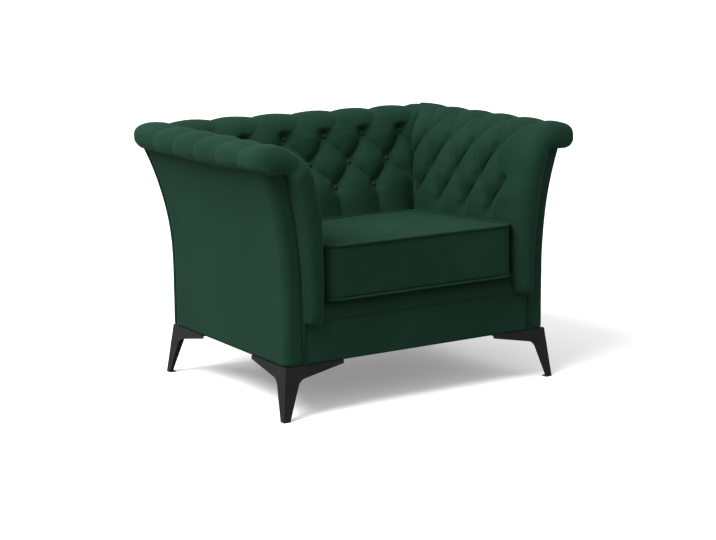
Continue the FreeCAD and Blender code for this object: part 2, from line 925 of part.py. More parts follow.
def spring(across):
    # A flat zigzag of round wire, its bends half circles, from the front to the rear rail.
    bend = spring_bend_radius
    side = spring_half_width - bend
    edges = []
    for index in range(spring_bend_count):
        near = spring_first + 2 * bend * index
        after = near + 2 * bend
        sign = 1 if index % 2 == 0 else -1
        edges.append(line(point(-sign * side, near, 0), point(sign * side, near, 0)))
        bulge = point(sign * (side + bend), near + bend, 0)
        edges.append(arc(point(sign * side, near, 0), bulge, point(sign * side, after, 0)))
    sign = 1 if spring_bend_count % 2 == 0 else -1
    edges.append(line(point(-sign * side, spring_last, 0), point(sign * side, spring_last, 0)))
    circle = Part.Circle(edges[0].Vertexes[0].Point, point(1, 0, 0), spring_wire / 2).toShape()
    wire = Part.Wire(edges).makePipeShell([Part.Wire(circle)], True, False)
    wire.rotate(point(0, 0, 0), point(1, 0, 0), -deck_slope)
    wire.translate(point(across, 0, spring_middle(0)))
    return wire


def spring_middle(along):
    return deck_height(along) - spring_rail_drop + spring_play + spring_wire / 2


def seat_springs():
    return [spring(across) for across in spring_places()]


def spring_clip_low(along):
    reach = spring_wire + clip_thickness
    return spring_middle(along) - spring_wire / 2 + reach * math.tan(deck_angle)


def spring_clips():
    # A bent steel clip over each spring end, on the front and the cross rail.
    reach = spring_wire + clip_thickness
    half = spring_half_width - spring_bend_radius
    solids = []
    for across in spring_places():
        for along in (spring_front, spring_rear):
            start = point(across - half, along, spring_middle(along))
            end = start + point(2 * half, 0, 0)
            low = spring_clip_low(along)
            high = low + spring_wire + clip_thickness
            clip = box(point(start.x, along - reach, low), point(end.x, along + reach, high))
            solids.append(clip.cut(rod(spring_wire / 2 + clip_play, start, end)))
    return solids


# Screws

def screw(head_center, axis, length, diameter, head_diameter, head_height):
    # Shank along the axis with a round head behind the starting point.
    shank = rod(diameter / 2, head_center, head_center + axis * length)
    head = rod(head_diameter / 2, head_center - axis * head_height, head_center)
    return shank.fuse(head).removeSplitter()


def leg_screw_places():
    # Two along the front flange and two along the side flange of the right front leg.
    depth = cover_thickness + rail_thickness / 2
    places = []
    for index in (1, 2):
        along = leg_screw_spacing * index
        places.append((half_base - along, depth))
        places.append((half_base - depth, along))
    return places


def four_corners(solid):
    right = [solid, solid.mirror(point(0, base_depth / 2, 0), point(0, 1, 0))]
    return right + [mirrored(item) for item in right]


def leg_screws():
    height = base_bottom - leg_flange_thickness
    solids = []
    sizes = (leg_screw_length, leg_screw_diameter, leg_screw_head, leg_screw_head_height)
    for x, y in leg_screw_places():
        solids += four_corners(screw(point(x, y, height), point(0, 0, 1), *sizes))
    return solids


def frame_screw_starts():
    # Head centre and direction: front post to side rail, rear post to back rail.
    side = frame_side - side_screw_inset
    rear = frame_rear - rail_thickness / 2
    starts = []
    for rise in frame_screw_rises:
        height = base_bottom + rise
        starts.append((point(side, cover_thickness + front_screw_sink, height), point(0, 1, 0)))
        starts.append((point(frame_side - rear_screw_sink, rear, height), point(-1, 0, 0)))
    return starts


def frame_screws():
    sizes = (frame_screw_length, frame_screw_diameter, frame_screw_head, frame_screw_diameter)
    right = [screw(start, axis, *sizes) for start, axis in frame_screw_starts()]
    return right + [mirrored(item) for item in right]


def frame_screw_recesses():
    # Round recesses through which the screw heads are reached before the cover goes on.
    right = []
    for start, axis in frame_screw_starts():
        outside = start - axis * (front_screw_sink + cover_thickness)
        right.append(rod(frame_screw_head / 2, outside, start))
    return right + [mirrored(item) for item in right]


def bored(part, screws):
    for item in screws:
        part = part.cut(item)
    return part


# Wooden frame

def front_rail():
    # Between the arm front posts, under the springs, notched under the feet of the arm pads.
    half = pad_back
    rear = cover_thickness + rail_thickness
    notch = box(point(deck_half_width, 0, pad_bottom_height - frame_play), point(far, far, far))
    corners = [
        point(-half, cover_thickness, frame_bottom),
        point(-half, rear, frame_bottom),
        point(-half, rear, deck_height(rear) - spring_rail_drop),
        point(-half, cover_thickness, deck_height(cover_thickness) - spring_rail_drop),
    ]
    return prism(corners, point(2 * half, 0, 0)).cut(notch).cut(mirrored(notch))


def back_rail():
    half = frame_side - post_size
    return box(point(-half, frame_rear - rail_thickness, frame_bottom), point(half, frame_rear, rail_top))


def side_rail():
    low = point(frame_side - rail_thickness, front_corner_radius, frame_bottom)
    return box(low, point(frame_side, frame_rear - post_size, rail_top))


def cross_rail():
    # Runs across under the rear ends of the springs, between the side rails.
    half = frame_side - rail_thickness
    front = spring_rear - rail_thickness / 2
    rear = spring_rear + rail_thickness / 2
    corners = [
        point(-half, front, frame_bottom),
        point(-half, rear, frame_bottom),
        point(-half, rear, deck_height(rear) - spring_rail_drop),
        point(-half, front, deck_height(front) - spring_rail_drop),
    ]
    return prism(corners, point(2 * half, 0, 0))


def corner_blocks():
    # Glued triangular blocks behind the arm panels and in front of the rear posts.
    size = corner_block_size
    outer = frame_side - rail_thickness
    front = front_corner_radius
    rear = frame_rear - post_size
    solids = []
    for corner, toward in ((front, 1), (rear, -1)):
        corners = [
            point(outer, corner, frame_bottom),
            point(outer - size, corner, frame_bottom),
            point(outer, corner + toward * size, frame_bottom),
        ]
        block = prism(corners, point(0, 0, size))
        solids += [block, mirrored(block)]
    return solids


def arm_panel_levels():
    # Heights of the arm's shaped panels, each with the line where the panel begins.
    foot = [(height, pad_back) for height in (rail_top, arm_flare_start, straight_pleat_height)]
    heights = [row[1] for row in placed_rows(arm_rows)][:2] + [frame_top]
    levels = []
    for height, row, room in zip(heights, arm_rows, panel_setbacks):
        levels.append((height, half_seat + row[0] + room))
    return foot + levels


def arm_front_post():
    # Shaped post that carries the arm front and its round corner.
    sections = []
    radius = front_corner_radius - cover_thickness - frame_play
    front = cover_thickness + frame_play
    rear = front_corner_radius
    for height, inner in [(frame_bottom, pad_back)] + arm_panel_levels():
        outer = outer_arm(height) - cover_thickness - panel_play
        turn = point(outer - radius + radius * diagonal, rear - radius * diagonal, height)
        sections.append([
            line(point(inner, front, height), point(outer - radius, front, height)),
            arc(point(outer - radius, front, height), turn, point(outer, rear, height)),
            line(point(outer, rear, height), point(inner, rear, height)),
            line(point(inner, rear, height), point(inner, front, height)),
        ])
    return ruled_solid(sections)


def arm_rib(along):
    # Shaped plywood between the arm pad and the outer cover, standing on the side rail.
    sections = []
    for height, inner in arm_panel_levels():
        if height <= straight_pleat_height:
            inner += tack_rail_thickness
        outer = outer_arm(height) - cover_thickness - panel_play
        corners = [
            point(inner, along, height),
            point(outer, along, height),
            point(outer, along + ply_thickness, height),
            point(inner, along + ply_thickness, height),
        ]
        sections.append([line(start, end) for start, end in zip(corners, corners[1:] + corners[:1])])
    return ruled_solid(sections)


def arm_ribs():
    rear = spring_rear - rail_thickness / 2 - rib_gap - ply_thickness
    return [arm_rib(arm_rib_front), arm_rib(rear)]


def arm_tack_rail():
    # Holds the foot of the arm pad and the deck's edge.
    low = point(pad_back, front_corner_radius, pad_bottom_height)
    rear = frame_rear - post_size
    return box(low, point(pad_back + tack_rail_thickness, rear, pad_bottom_height + tack_rail_height))


def roll_rail_edges(inner, outer, stem_center, place):
    # Rounded top that fills the roll, with a stem that stands on the panels below.
    radius = roll_core_radius - pad_thickness - top_rail_play
    middle = roll_center_height
    low = middle - radius
    high = middle + radius
    left = stem_center - stem_width / 2
    right = stem_center + stem_width / 2
    return [
        line(place(left, frame_top), place(left, low)),
        line(place(left, low), place(inner, low)),
        arc(place(inner, low), place(inner - radius, middle), place(inner, high)),
        line(place(inner, high), place(outer, high)),
        arc(place(outer, high), place(outer + radius, middle), place(outer, low)),
        line(place(outer, low), place(right, low)),
        line(place(right, low), place(right, frame_top)),
        line(place(right, frame_top), place(left, frame_top)),
    ]


def arm_top_rail():
    start = cover_thickness + frame_play

    def place(across, height):
        return point(across, start, height)

    inner = arm_roll_inner_center
    edges = roll_rail_edges(inner, arm_roll_outer_center, inner + arm_stem_offset, place)
    rail = Part.Face(Part.Wire(edges)).extrude(point(0, corner_y - frame_play - start, 0))
    stem_top = roll_center_height - roll_core_radius + pad_thickness + top_rail_play
    return rail.cut(box(point(0, 0, 0), point(far, front_corner_radius, stem_top)))


def back_top_rail():
    half = corner_x - frame_play

    def place(across, height):
        return point(-half, across, height)

    inner = back_roll_inner_center
    edges = roll_rail_edges(inner, back_roll_outer_center, inner + back_stem_offset, place)
    return Part.Face(Part.Wire(edges)).extrude(point(2 * half, 0, 0))


def rear_post():
    low = point(frame_side - post_size, frame_rear - post_size, frame_bottom)
    post = box(low, point(frame_side, frame_rear, base_bottom + rear_post_rise))
    corner = []
    for edge in post.Edges:
        if edge.BoundBox.XMin > frame_side - 1 and edge.BoundBox.YMin > frame_rear - 1:
            corner.append(edge)
    return post.makeFillet(rear_corner_radius - cover_thickness + frame_play, corner)


def back_rib(across):
    # Shaped plywood between the back pad and the outer back cover, standing on the back rail.
    start = across - ply_thickness / 2
    low_row = placed_rows(back_rows)[0]
    high_row = placed_rows(back_rows)[-1]
    foot = back_pad_rear + tack_rail_thickness
    rear = frame_rear - frame_play
    middle_height = (back_flare_start + frame_top) / 2
    bulge = rear + flare(middle_height, back_flare_start, neck_height, back_neck_flare)
    head = rear + flare(frame_top, back_flare_start, neck_height, back_neck_flare)
    play = pad_thickness + rib_play
    corners = [
        point(start, head, frame_top),
        point(start, seat_rear + high_row[0] + play, frame_top),
        point(start, seat_rear + low_row[0] + play, low_row[1] - tuft_width),
        point(start, foot, straight_pleat_height - tuft_width),
        point(start, foot, rail_top),
        point(start, rear, rail_top),
        point(start, rear, back_flare_start),
    ]
    edges = [line(begin, end) for begin, end in zip(corners, corners[1:])]
    edges.append(arc(corners[-1], point(start, bulge, middle_height), corners[0]))
    return Part.Face(Part.Wire(edges)).extrude(point(ply_thickness, 0, 0))


def back_ribs():
    # Four in a row, the outer two just inside the arms' tack rails.
    outer = pad_back - rib_gap - ply_thickness / 2
    return [back_rib(outer * share) for share in (-1, -1 / 3, 1 / 3, 1)]


def back_tack_rail():
    half = frame_side - rail_thickness
    low = pad_bottom_height + tack_rail_height
    front = point(-half, back_pad_rear + frame_play, low)
    return box(front, point(half, back_pad_rear + tack_rail_thickness, low + tack_rail_height))


def dust_cover():
    # Thin black cloth over the whole underside of the frame.
    front = cover_thickness + frame_play
    plate = box(point(-frame_side, front, base_bottom), point(frame_side, frame_rear, frame_bottom))
    plate = round_upright(plate, front_corner_radius - cover_thickness, 0, base_depth / 2)
    return round_upright(plate, rear_corner_radius - cover_thickness, base_depth / 2, base_depth)


def round_upright(shape, radius, near, beyond):
    # Rounds the upright edges of a shape that stand between two distances from the front.
    edges = []
    for edge in shape.Edges:
        box_of_edge = edge.BoundBox
        upright = box_of_edge.XLength + box_of_edge.YLength < 0.01
        if upright and near < box_of_edge.Center.y < beyond:
            edges.append(edge)
    return shape.makeFillet(radius, edges)


# Legs

def leg_plate(place, inward):
    # One face of the corner leg; place takes the distance from the corner edge and a height.
    top = leg_height
    shoulder = leg_height - leg_shoulder_height
    knee = leg_top_width + leg_knee_run
    low = shoulder - leg_knee_drop
    bend = place(leg_top_width + leg_knee_bend, shoulder - leg_knee_fall)
    edges = [
        line(place(0, glide_thickness), place(0, top)),
        line(place(0, top), place(leg_arm_length, top)),
        line(place(leg_arm_length, top), place(leg_arm_length, top - leg_tip_height)),
        line(place(leg_arm_length, top - leg_tip_height), place(knee, shoulder)),
        arc(place(knee, shoulder), bend, place(leg_top_width, low)),
        line(place(leg_top_width, low), place(leg_foot_width, glide_thickness)),
        line(place(leg_foot_width, glide_thickness), place(0, glide_thickness)),
    ]
    return Part.Face(Part.Wire(edges)).extrude(inward)


def splay(height):
    return leg_splay * (1 - height / leg_height)


def front_leg():
    # Right front leg: two splayed plates that meet at the outer corner, and a top flange.
    def on_front(away, height):
        return point(half_base + splay(height) - away, -splay(height), height)

    def on_side(away, height):
        return point(half_base + splay(height), away - splay(height), height)

    front = leg_plate(on_front, point(0, leg_plate_thickness, 0))
    side = leg_plate(on_side, point(-leg_plate_thickness, 0, 0))
    low = leg_height - leg_flange_thickness
    edge = leg_flange_inset
    outer = half_base - leg_flange_inset
    inner = half_base - leg_arm_length
    along_front = box(point(inner, edge, low), point(outer, leg_flange_width, leg_height))
    side_start = point(half_base - leg_flange_width, edge, low)
    along_side = box(side_start, point(outer, leg_arm_length, leg_height))
    leg = front.fuse(side).fuse(along_front).fuse(along_side).removeSplitter()
    radius = leg_screw_diameter / 2
    holes = [rod(radius, point(x, y, low), point(x, y, leg_height)) for x, y in leg_screw_places()]
    return bored(leg, holes)


def glide():
    # Small plastic foot under the leg's lower corner.
    reach = half_base + leg_splay
    low = point(reach - leg_foot_width, -leg_splay, 0)
    return box(low, low + point(leg_foot_width, leg_foot_width, glide_thickness))


def build():
    os.makedirs("parts", exist_ok=True)
    under_screws = leg_screws()
    side_screws = frame_screws()
    side_holes = side_screws + frame_screw_recesses()
    arm_button_solids = [button(center, normal) for center, normal in arm_button_places()]
    back_button_solids = [button(center, normal) for center, normal in back_button_places()]

    save_pair("outer_arm_cover", [outer_arm_cover()])
    save("outer_back_cover", [outer_back_cover()])
    save("front_border_cover", [front_border_cover()])
    save_pair("arm_front_piping", [arm_front_piping()])
    save_pair("arm_pad", [arm_pad()])
    save("back_pad", [back_pad()])
    save_pair("arm_buttons", arm_button_solids)
    save("back_buttons", back_button_solids)

    save("front_edge_roll", [front_edge_roll()])
    save("seat_deck_cover", [deck_cover()])
    save("deck_pad", [deck_pad()])
    save("spring_hessian", [spring_hessian()])
    save("seat_springs", seat_springs())
    save("spring_clips", spring_clips())

    save("seat_cushion_cover", [seat_in_place(cushion_cover())])
    save("cushion_foam", [seat_in_place(cushion_foam())])
    save("cushion_piping", [seat_in_place(cord) for cord in cushion_piping()])
    save("cushion_zip", [seat_in_place(cushion_zip())])
    save("zip_slider", [seat_in_place(zip_slider())])

    save("front_rail", [bored(front_rail(), under_screws)])
    save("back_rail", [bored(back_rail(), under_screws + side_screws)])
    save_pair("side_rail", [bored(side_rail(), under_screws + side_screws)])
    save("cross_rail", [cross_rail()])
    save("corner_blocks", [bored(block, under_screws) for block in corner_blocks()])
    save_pair("rear_post", [bored(rear_post(), under_screws + side_holes)])
    save_pair("arm_front_post", [bored(arm_front_post(), under_screws + side_holes)])
    save_pair("arm_ribs", arm_ribs())
    save_pair("arm_tack_rail", [arm_tack_rail()])
    save_pair("arm_top_rail", [arm_top_rail()])
    save("back_ribs", back_ribs())
    save("back_tack_rail", [back_tack_rail()])
    save("back_top_rail", [back_top_rail()])
    save("frame_screws", side_screws)

    save("dust_cover", [bored(dust_cover(), under_screws)])
    save("leg_screws", under_screws)
    names = ("leg_front_right", "leg_rear_right", "leg_front_left", "leg_rear_left")
    for name, leg in zip(names, four_corners(front_leg())):
        save(name, [leg])
    save("leg_glides", four_corners(glide()))


build()
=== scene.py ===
import math

import bmesh
import bpy
from bpy.props import FloatProperty, FloatVectorProperty, IntProperty, PointerProperty
from mathutils import Matrix, Vector, noise


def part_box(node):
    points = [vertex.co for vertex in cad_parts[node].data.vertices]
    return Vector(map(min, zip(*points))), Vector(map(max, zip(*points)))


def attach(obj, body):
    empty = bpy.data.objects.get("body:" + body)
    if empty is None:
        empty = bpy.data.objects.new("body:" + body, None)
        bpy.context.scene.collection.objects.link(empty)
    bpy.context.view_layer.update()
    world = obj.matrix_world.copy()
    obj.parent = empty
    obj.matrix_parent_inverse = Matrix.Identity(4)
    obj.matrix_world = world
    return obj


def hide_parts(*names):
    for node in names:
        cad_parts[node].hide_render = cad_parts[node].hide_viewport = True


bl_info = {
    "name": "Chesterfield armchair",
    "version": (1, 0, 0),
    "blender": (4, 5, 0),
    "location": "3D View > Sidebar > Armchair",
    "description": "Dresses the frame of a tufted armchair in velvet, piece by piece",
    "category": "Object",
}

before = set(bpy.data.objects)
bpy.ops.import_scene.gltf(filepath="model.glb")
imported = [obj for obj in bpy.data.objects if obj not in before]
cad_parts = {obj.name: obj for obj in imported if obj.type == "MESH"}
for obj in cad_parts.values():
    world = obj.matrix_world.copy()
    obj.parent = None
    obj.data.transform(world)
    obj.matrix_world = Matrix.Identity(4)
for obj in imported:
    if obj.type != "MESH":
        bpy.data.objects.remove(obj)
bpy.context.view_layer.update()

# Places read from the frame, in metres. Depths count from the front face of the base.
border_low, border_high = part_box("front_border_cover")
base_front = border_low.y
base_bottom = border_low.z
border_top = border_high.z
border_half = border_high.x
cover_thickness = border_high.y - border_low.y
half_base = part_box("side_rail_right")[1].x + cover_thickness
base_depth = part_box("back_rail")[1].y - base_front + cover_thickness
arm_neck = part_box("outer_arm_cover_right")[1].x
back_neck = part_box("outer_back_cover")[1].y - base_front
neck_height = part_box("outer_arm_cover_right")[1].z
piping_low, piping_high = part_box("arm_front_piping_right")
deck_low, deck_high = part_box("seat_deck_cover")
dust_low, dust_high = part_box("dust_cover")
deck_play = 0.0005
half_seat = deck_high.x + deck_play
seat_rear = deck_high.y - base_front + deck_play
pad_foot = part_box("arm_pad_right")[0].z
back_pad_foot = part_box("back_pad")[0].z
welt_low, welt_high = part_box("cushion_piping")

# Outer covers and the cord on the arm fronts
front_corner_radius = 0.024
rear_corner_radius = 0.018
arm_flare_start = base_bottom + 0.210
back_flare_start = base_bottom + 0.150
piping_radius = (piping_high.y - piping_low.y) / 2
piping_half_spacing = piping_low.x + piping_radius
piping_flare_start = base_bottom + 0.150
piping_flare = 0.048
piping_top = neck_height - 0.016
piping_turn_radius = 0.014

# Rolled top of the arms and the back
roll_radius = 0.029
roll_hump = 0.0115
roll_height = neck_height + 0.022
arm_roll_outer = arm_neck + 0.003
arm_roll_inner = arm_roll_outer - 0.050
back_roll_outer = back_neck - 0.012
back_roll_inner = back_roll_outer - 0.058
corner_radius = 0.100
corner_x = arm_roll_outer + roll_radius + roll_hump - corner_radius
corner_y = back_roll_outer + roll_radius + roll_hump - corner_radius
mitre_slope = 1.05

# Rows of buttons, the lowest first: outside the seat edge, drop below the neck, puff
arm_rows = ((0.018, 0.200, 0.018), (0.034, 0.105, 0.028), (0.062, 0.010, 0.030))
back_rows = ((0.047, 0.160, 0.028), (0.083, 0.088, 0.031), (0.115, 0.007, 0.028))
low_puff = 0.014
first_row_key = 2
last_row_key = 4
roll_key = 7
button_pit = 0.006
button_stand = 0.002

# How the cloth lies between the buttons and where it ends
hollow_radius = 0.019
hollow_reach = 0.09
front_smooth_run = 0.055
rear_smooth_run = 0.05
mitre_dive = 0.05
nose_columns = 22
nose_depth = 0.014
nose_bulge = 0.0370
roll_nose_slimming = 0.0100
wrap_depth = -0.0022
roll_front_rise = 0.011
quarter_turn = math.pi / 4

# Loose cushion, as it is before it leans back on the deck
cushion_half = welt_high.x
cushion_height = 0.157
cushion_forward = 0.008
cushion_corner = 0.055
cushion_stand = 0.0049
cushion_overhang = 0.020
cushion_rise = 0.175
framed_cushion_height = 0.150
foam_play = 0.006
welt_radius = 0.0035
slope = math.radians(2.7)

# Cloth and layers
pad_cloth = 0.004
cover_cloth = 0.003
deck_cloth = 0.0012
dust_cloth = 0.0006
deck_fall = 0.002


def set_out(x, depth, height):
    """A point from its distance behind the base's front face."""
    return Vector((x, base_front + depth, height))


def flare(height, start, top, reach):
    """How far an arc has left the upright line that it leaves at start."""
    if height <= start:
        return 0.0
    rise = top - start
    radius = (reach * reach + rise * rise) / (2 * reach)
    above = min(height, top) - start
    return radius - math.sqrt(radius * radius - above * above)


def outer_arm(height):
    return half_base + flare(height, arm_flare_start, neck_height, arm_neck - half_base)


def outer_back(height):
    return base_depth + flare(height, back_flare_start, neck_height, back_neck - base_depth)


def piping_line(height):
    return piping_half_spacing + flare(height, piping_flare_start, piping_top, piping_flare)


def ease(share):
    """From 0 to 1 with a level start and end."""
    share = max(0.0, min(1.0, share))
    return share * share * (3 - 2 * share)


def puffed(share):
    """Round section of stuffed cloth: steep where it is sewn down, level at its middle."""
    share = max(0.0, min(1.0, share))
    return (1 - (1 - share) ** 2) ** 0.78


def unevenness(place, size, amount):
    return amount * noise.noise(place / size)


# Settings that a user may change

class ARMCHAIR_PG_velvet(bpy.types.PropertyGroup):
    colour: FloatVectorProperty(
        name="Velvet colour", description="Colour of the velvet where the nap lies flat",
        default=(0.0068, 0.0235, 0.0140), size=3, min=0, max=1, subtype="COLOR")
    brushed: FloatVectorProperty(
        name="Brushed colour", description="Colour of the velvet where the nap stands up",
        default=(0.0095, 0.0310, 0.0190), size=3, min=0, max=1, subtype="COLOR")
    sheen: FloatProperty(
        name="Sheen", description="How strongly the pile catches light at its edges",
        default=0.05, min=0, max=1, subtype="FACTOR")
    steel: FloatVectorProperty(
        name="Leg colour", description="Colour of the painted steel legs",
        default=(0.0065, 0.0065, 0.007), size=3, min=0, max=1, subtype="COLOR")


class ARMCHAIR_PG_padding(bpy.types.PropertyGroup):
    mesh_step: FloatProperty(
        name="Mesh step", description="Distance between the threads of a pad's mesh",
        default=0.004, min=0.002, max=0.02, subtype="DISTANCE", unit="LENGTH")
    arm_pitch: FloatProperty(
        name="Arm tuft pitch", description="Distance between two buttons of a row on an arm",
        default=0.126, min=0.05, max=0.3, subtype="DISTANCE", unit="LENGTH")
    back_pitch: FloatProperty(
        name="Back tuft pitch", description="Distance between two buttons of a row on the back",
        default=0.144, min=0.05, max=0.3, subtype="DISTANCE", unit="LENGTH")
    front_puff: FloatProperty(
        name="Arm front puff", description="Stuffing under the smooth cloth of the arm fronts",
        default=0.024, min=0, max=0.05, subtype="DISTANCE", unit="LENGTH")
    cushion_crown: FloatProperty(
        name="Cushion crown", description="How far the stuffing may lift the cushion's top",
        default=0.014, min=0, max=0.05, subtype="DISTANCE", unit="LENGTH")
    simulation_frames: IntProperty(
        name="Simulation frames", description="Steps of cloth simulation for the cushion",
        default=20, min=1, max=60)


class ARMCHAIR_PG_studio(bpy.types.PropertyGroup):
    floor_colour: FloatVectorProperty(
        name="Floor colour", description="Colour of the plain floor",
        default=(0.8, 0.8, 0.8), size=3, min=0, max=1, subtype="COLOR")
    lens: FloatProperty(
        name="Lens", description="Focal length of the camera",
        default=90.72, min=10, max=300, subtype="DISTANCE_CAMERA")


# Mesh helpers

def add_object(name, bm, material, body):
    for face in bm.faces:
        face.smooth = True
    mesh = bpy.data.meshes.new(name)
    bm.to_mesh(mesh)
    bm.free()
    thing = bpy.data.objects.new(name, mesh)
    bpy.context.scene.collection.objects.link(thing)
    mesh.materials.append(material)
    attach(thing, body)
    return thing


def grid_surface(columns, rows, place):
    """A net of faces whose corners go where place says for a column and a row."""
    bm = bmesh.new()
    bmesh.ops.create_grid(bm, x_segments=columns, y_segments=rows, size=0.5)
    for corner in bm.verts:
        column = round((corner.co.x + 0.5) * columns)
        row = round((corner.co.y + 0.5) * rows)
        corner.co = place(column, row)
    return bm


def layered_net(columns, rows):
    """Two nets of unit size, one above the other, joined round their edges."""
    bm = bmesh.new()
    bmesh.ops.create_grid(bm, x_segments=columns, y_segments=rows, size=0.5)
    grown = bmesh.ops.extrude_face_region(bm, geom=bm.faces[:])
    raised = [item for item in grown["geom"] if isinstance(item, bmesh.types.BMVert)]
    bmesh.ops.translate(bm, vec=(0, 0, 1), verts=raised)
    return bm


def face_towards(bm, inside):
    """Turns an open surface so that its faces look away from a point inside it."""
    total = 0.0
    for face in bm.faces:
        total += face.normal.dot(face.calc_center_median() - inside) * face.calc_area()
    if total < 0:
        bmesh.ops.reverse_faces(bm, faces=bm.faces[:])


def mirror_copy(bm):
    """The same mesh for the other side of the chair."""
    copy = bm.copy()
    for corner in copy.verts:
        corner.co.x = -corner.co.x
    bmesh.ops.reverse_faces(copy, faces=copy.faces[:])
    return copy


def both_sides(bm):
    """Pairs of a side's name and its mesh, from the right side's mesh."""
    return ("left", mirror_copy(bm)), ("right", bm)


def thicken(thing, thickness):
    wall = thing.modifiers.new("cloth thickness", "SOLIDIFY")
    wall.thickness = thickness
    wall.offset = -1.0
    wall.use_rim = True
    return thing


def soften(thing, levels):
    smooth = thing.modifiers.new("soft surface", "SUBSURF")
    smooth.levels = levels
    smooth.render_levels = levels
    return thing


def tube_mesh(name, paths, radius, closed):
    """Round cords along the paths, as one mesh."""
    line = bpy.data.curves.new(name, "CURVE")
    line.dimensions = "3D"
    line.bevel_depth = radius
    line.bevel_resolution = 3
    line.use_fill_caps = not closed
    for path in paths:
        spline = line.splines.new("POLY")
        spline.points.add(len(path) - 1)
        for spot, place in zip(spline.points, path):
            spot.co = (*place, 1.0)
        spline.use_cyclic_u = closed
    thing = bpy.data.objects.new(name + "_line", line)
    bpy.context.scene.collection.objects.link(thing)
    bpy.context.view_layer.update()
    shaped = thing.evaluated_get(bpy.context.evaluated_depsgraph_get())
    mesh = bpy.data.meshes.new_from_object(shaped)
    bpy.data.objects.remove(thing)
    bpy.data.curves.remove(line)
    bm = bmesh.new()
    bm.from_mesh(mesh)
    bpy.data.meshes.remove(mesh)
    bmesh.ops.remove_doubles(bm, verts=bm.verts[:], dist=1e-6)
    bmesh.ops.recalc_face_normals(bm, faces=bm.faces[:])
    return bm


def arc_points(center, radius, start, end, count):
    """Points on a level or upright arc, as pairs."""
    points = []
    for index in range(count + 1):
        turn = math.radians(start + (end - start) * index / count)
        points.append((center[0] + radius * math.cos(turn), center[1] + radius * math.sin(turn)))
    return points


# Materials

class Finish:
    """A material whose colour, roughness and relief come from its nodes."""

    def __init__(self, name):
        self.material = bpy.data.materials.new(name)
        self.material.use_nodes = True
        self.nodes = self.material.node_tree.nodes
        self.links = self.material.node_tree.links
        self.nodes.clear()
        output = self.nodes.new("ShaderNodeOutputMaterial")
        self.shader = self.nodes.new("ShaderNodeBsdfPrincipled")
        self.links.new(self.shader.outputs["BSDF"], output.inputs["Surface"])
        self.coordinates = self.nodes.new("ShaderNodeTexCoord")
        self.relief = None

    def place(self, scale=(1, 1, 1), turn=(0, 0, 0)):
        mapping = self.nodes.new("ShaderNodeMapping")
        mapping.inputs["Scale"].default_value = scale
        mapping.inputs["Rotation"].default_value = turn
        self.links.new(self.coordinates.outputs["Object"], mapping.inputs["Vector"])
        return mapping.outputs["Vector"]

    def clouds(self, size, detail=2.0, where=None, distortion=0.0):
        texture = self.nodes.new("ShaderNodeTexNoise")
        texture.inputs["Scale"].default_value = 1 / size
        texture.inputs["Detail"].default_value = detail
        texture.inputs["Distortion"].default_value = distortion
        self.links.new(where or self.coordinates.outputs["Object"], texture.inputs["Vector"])
        return texture.outputs["Fac"]

    def cells(self, size):
        texture = self.nodes.new("ShaderNodeTexVoronoi")
        texture.inputs["Scale"].default_value = 1 / size
        self.links.new(self.coordinates.outputs["Object"], texture.inputs["Vector"])
        return texture.outputs["Distance"]

    def bands(self, size, direction, distortion=0.0, where=None):
        texture = self.nodes.new("ShaderNodeTexWave")
        texture.wave_type = "BANDS"
        texture.bands_direction = direction
        texture.inputs["Scale"].default_value = 0.314 / size
        texture.inputs["Distortion"].default_value = distortion
        texture.inputs["Detail"].default_value = 2.0
        self.links.new(where or self.coordinates.outputs["Object"], texture.inputs["Vector"])
        return texture.outputs["Fac"]

    def spread(self, value, low, high, to_low=0.0, to_high=1.0):
        node = self.nodes.new("ShaderNodeMapRange")
        node.inputs["From Min"].default_value = low
        node.inputs["From Max"].default_value = high
        node.inputs["To Min"].default_value = to_low
        node.inputs["To Max"].default_value = to_high
        self.links.new(value, node.inputs["Value"])
        return node.outputs["Result"]

    def times(self, one, other):
        node = self.nodes.new("ShaderNodeMath")
        node.operation = "MULTIPLY"
        self.links.new(one, node.inputs[0])
        self.links.new(other, node.inputs[1])
        return node.outputs["Value"]

    def between(self, share, dark, light):
        node = self.nodes.new("ShaderNodeMix")
        node.data_type = "RGBA"
        for socket in node.inputs:
            if socket.type == "RGBA":
                socket.default_value = (*(dark if socket.name == "A" else light), 1)
        self.links.new(share, node.inputs["Factor"])
        return [out for out in node.outputs if out.type == "RGBA"][0]

    def paint(self, colour):
        self.links.new(colour, self.shader.inputs["Base Color"])

    def roughen(self, value, low, high):
        self.links.new(self.spread(value, 0.3, 0.7, low, high), self.shader.inputs["Roughness"])

    def emboss(self, height, distance, strength=1.0):
        bump = self.nodes.new("ShaderNodeBump")
        bump.inputs["Distance"].default_value = distance
        bump.inputs["Strength"].default_value = strength
        self.links.new(height, bump.inputs["Height"])
        if self.relief is not None:
            self.links.new(self.relief, bump.inputs["Normal"])
        self.relief = bump.outputs["Normal"]
        self.links.new(self.relief, self.shader.inputs["Normal"])

    def set(self, **values):
        names = {
            "sheen": "Sheen Weight", "sheen_roughness": "Sheen Roughness", "metallic": "Metallic",
            "sheen_tint": "Sheen Tint", "specular": "Specular IOR Level",
        }
        for key, value in values.items():
            self.shader.inputs[names[key]].default_value = value


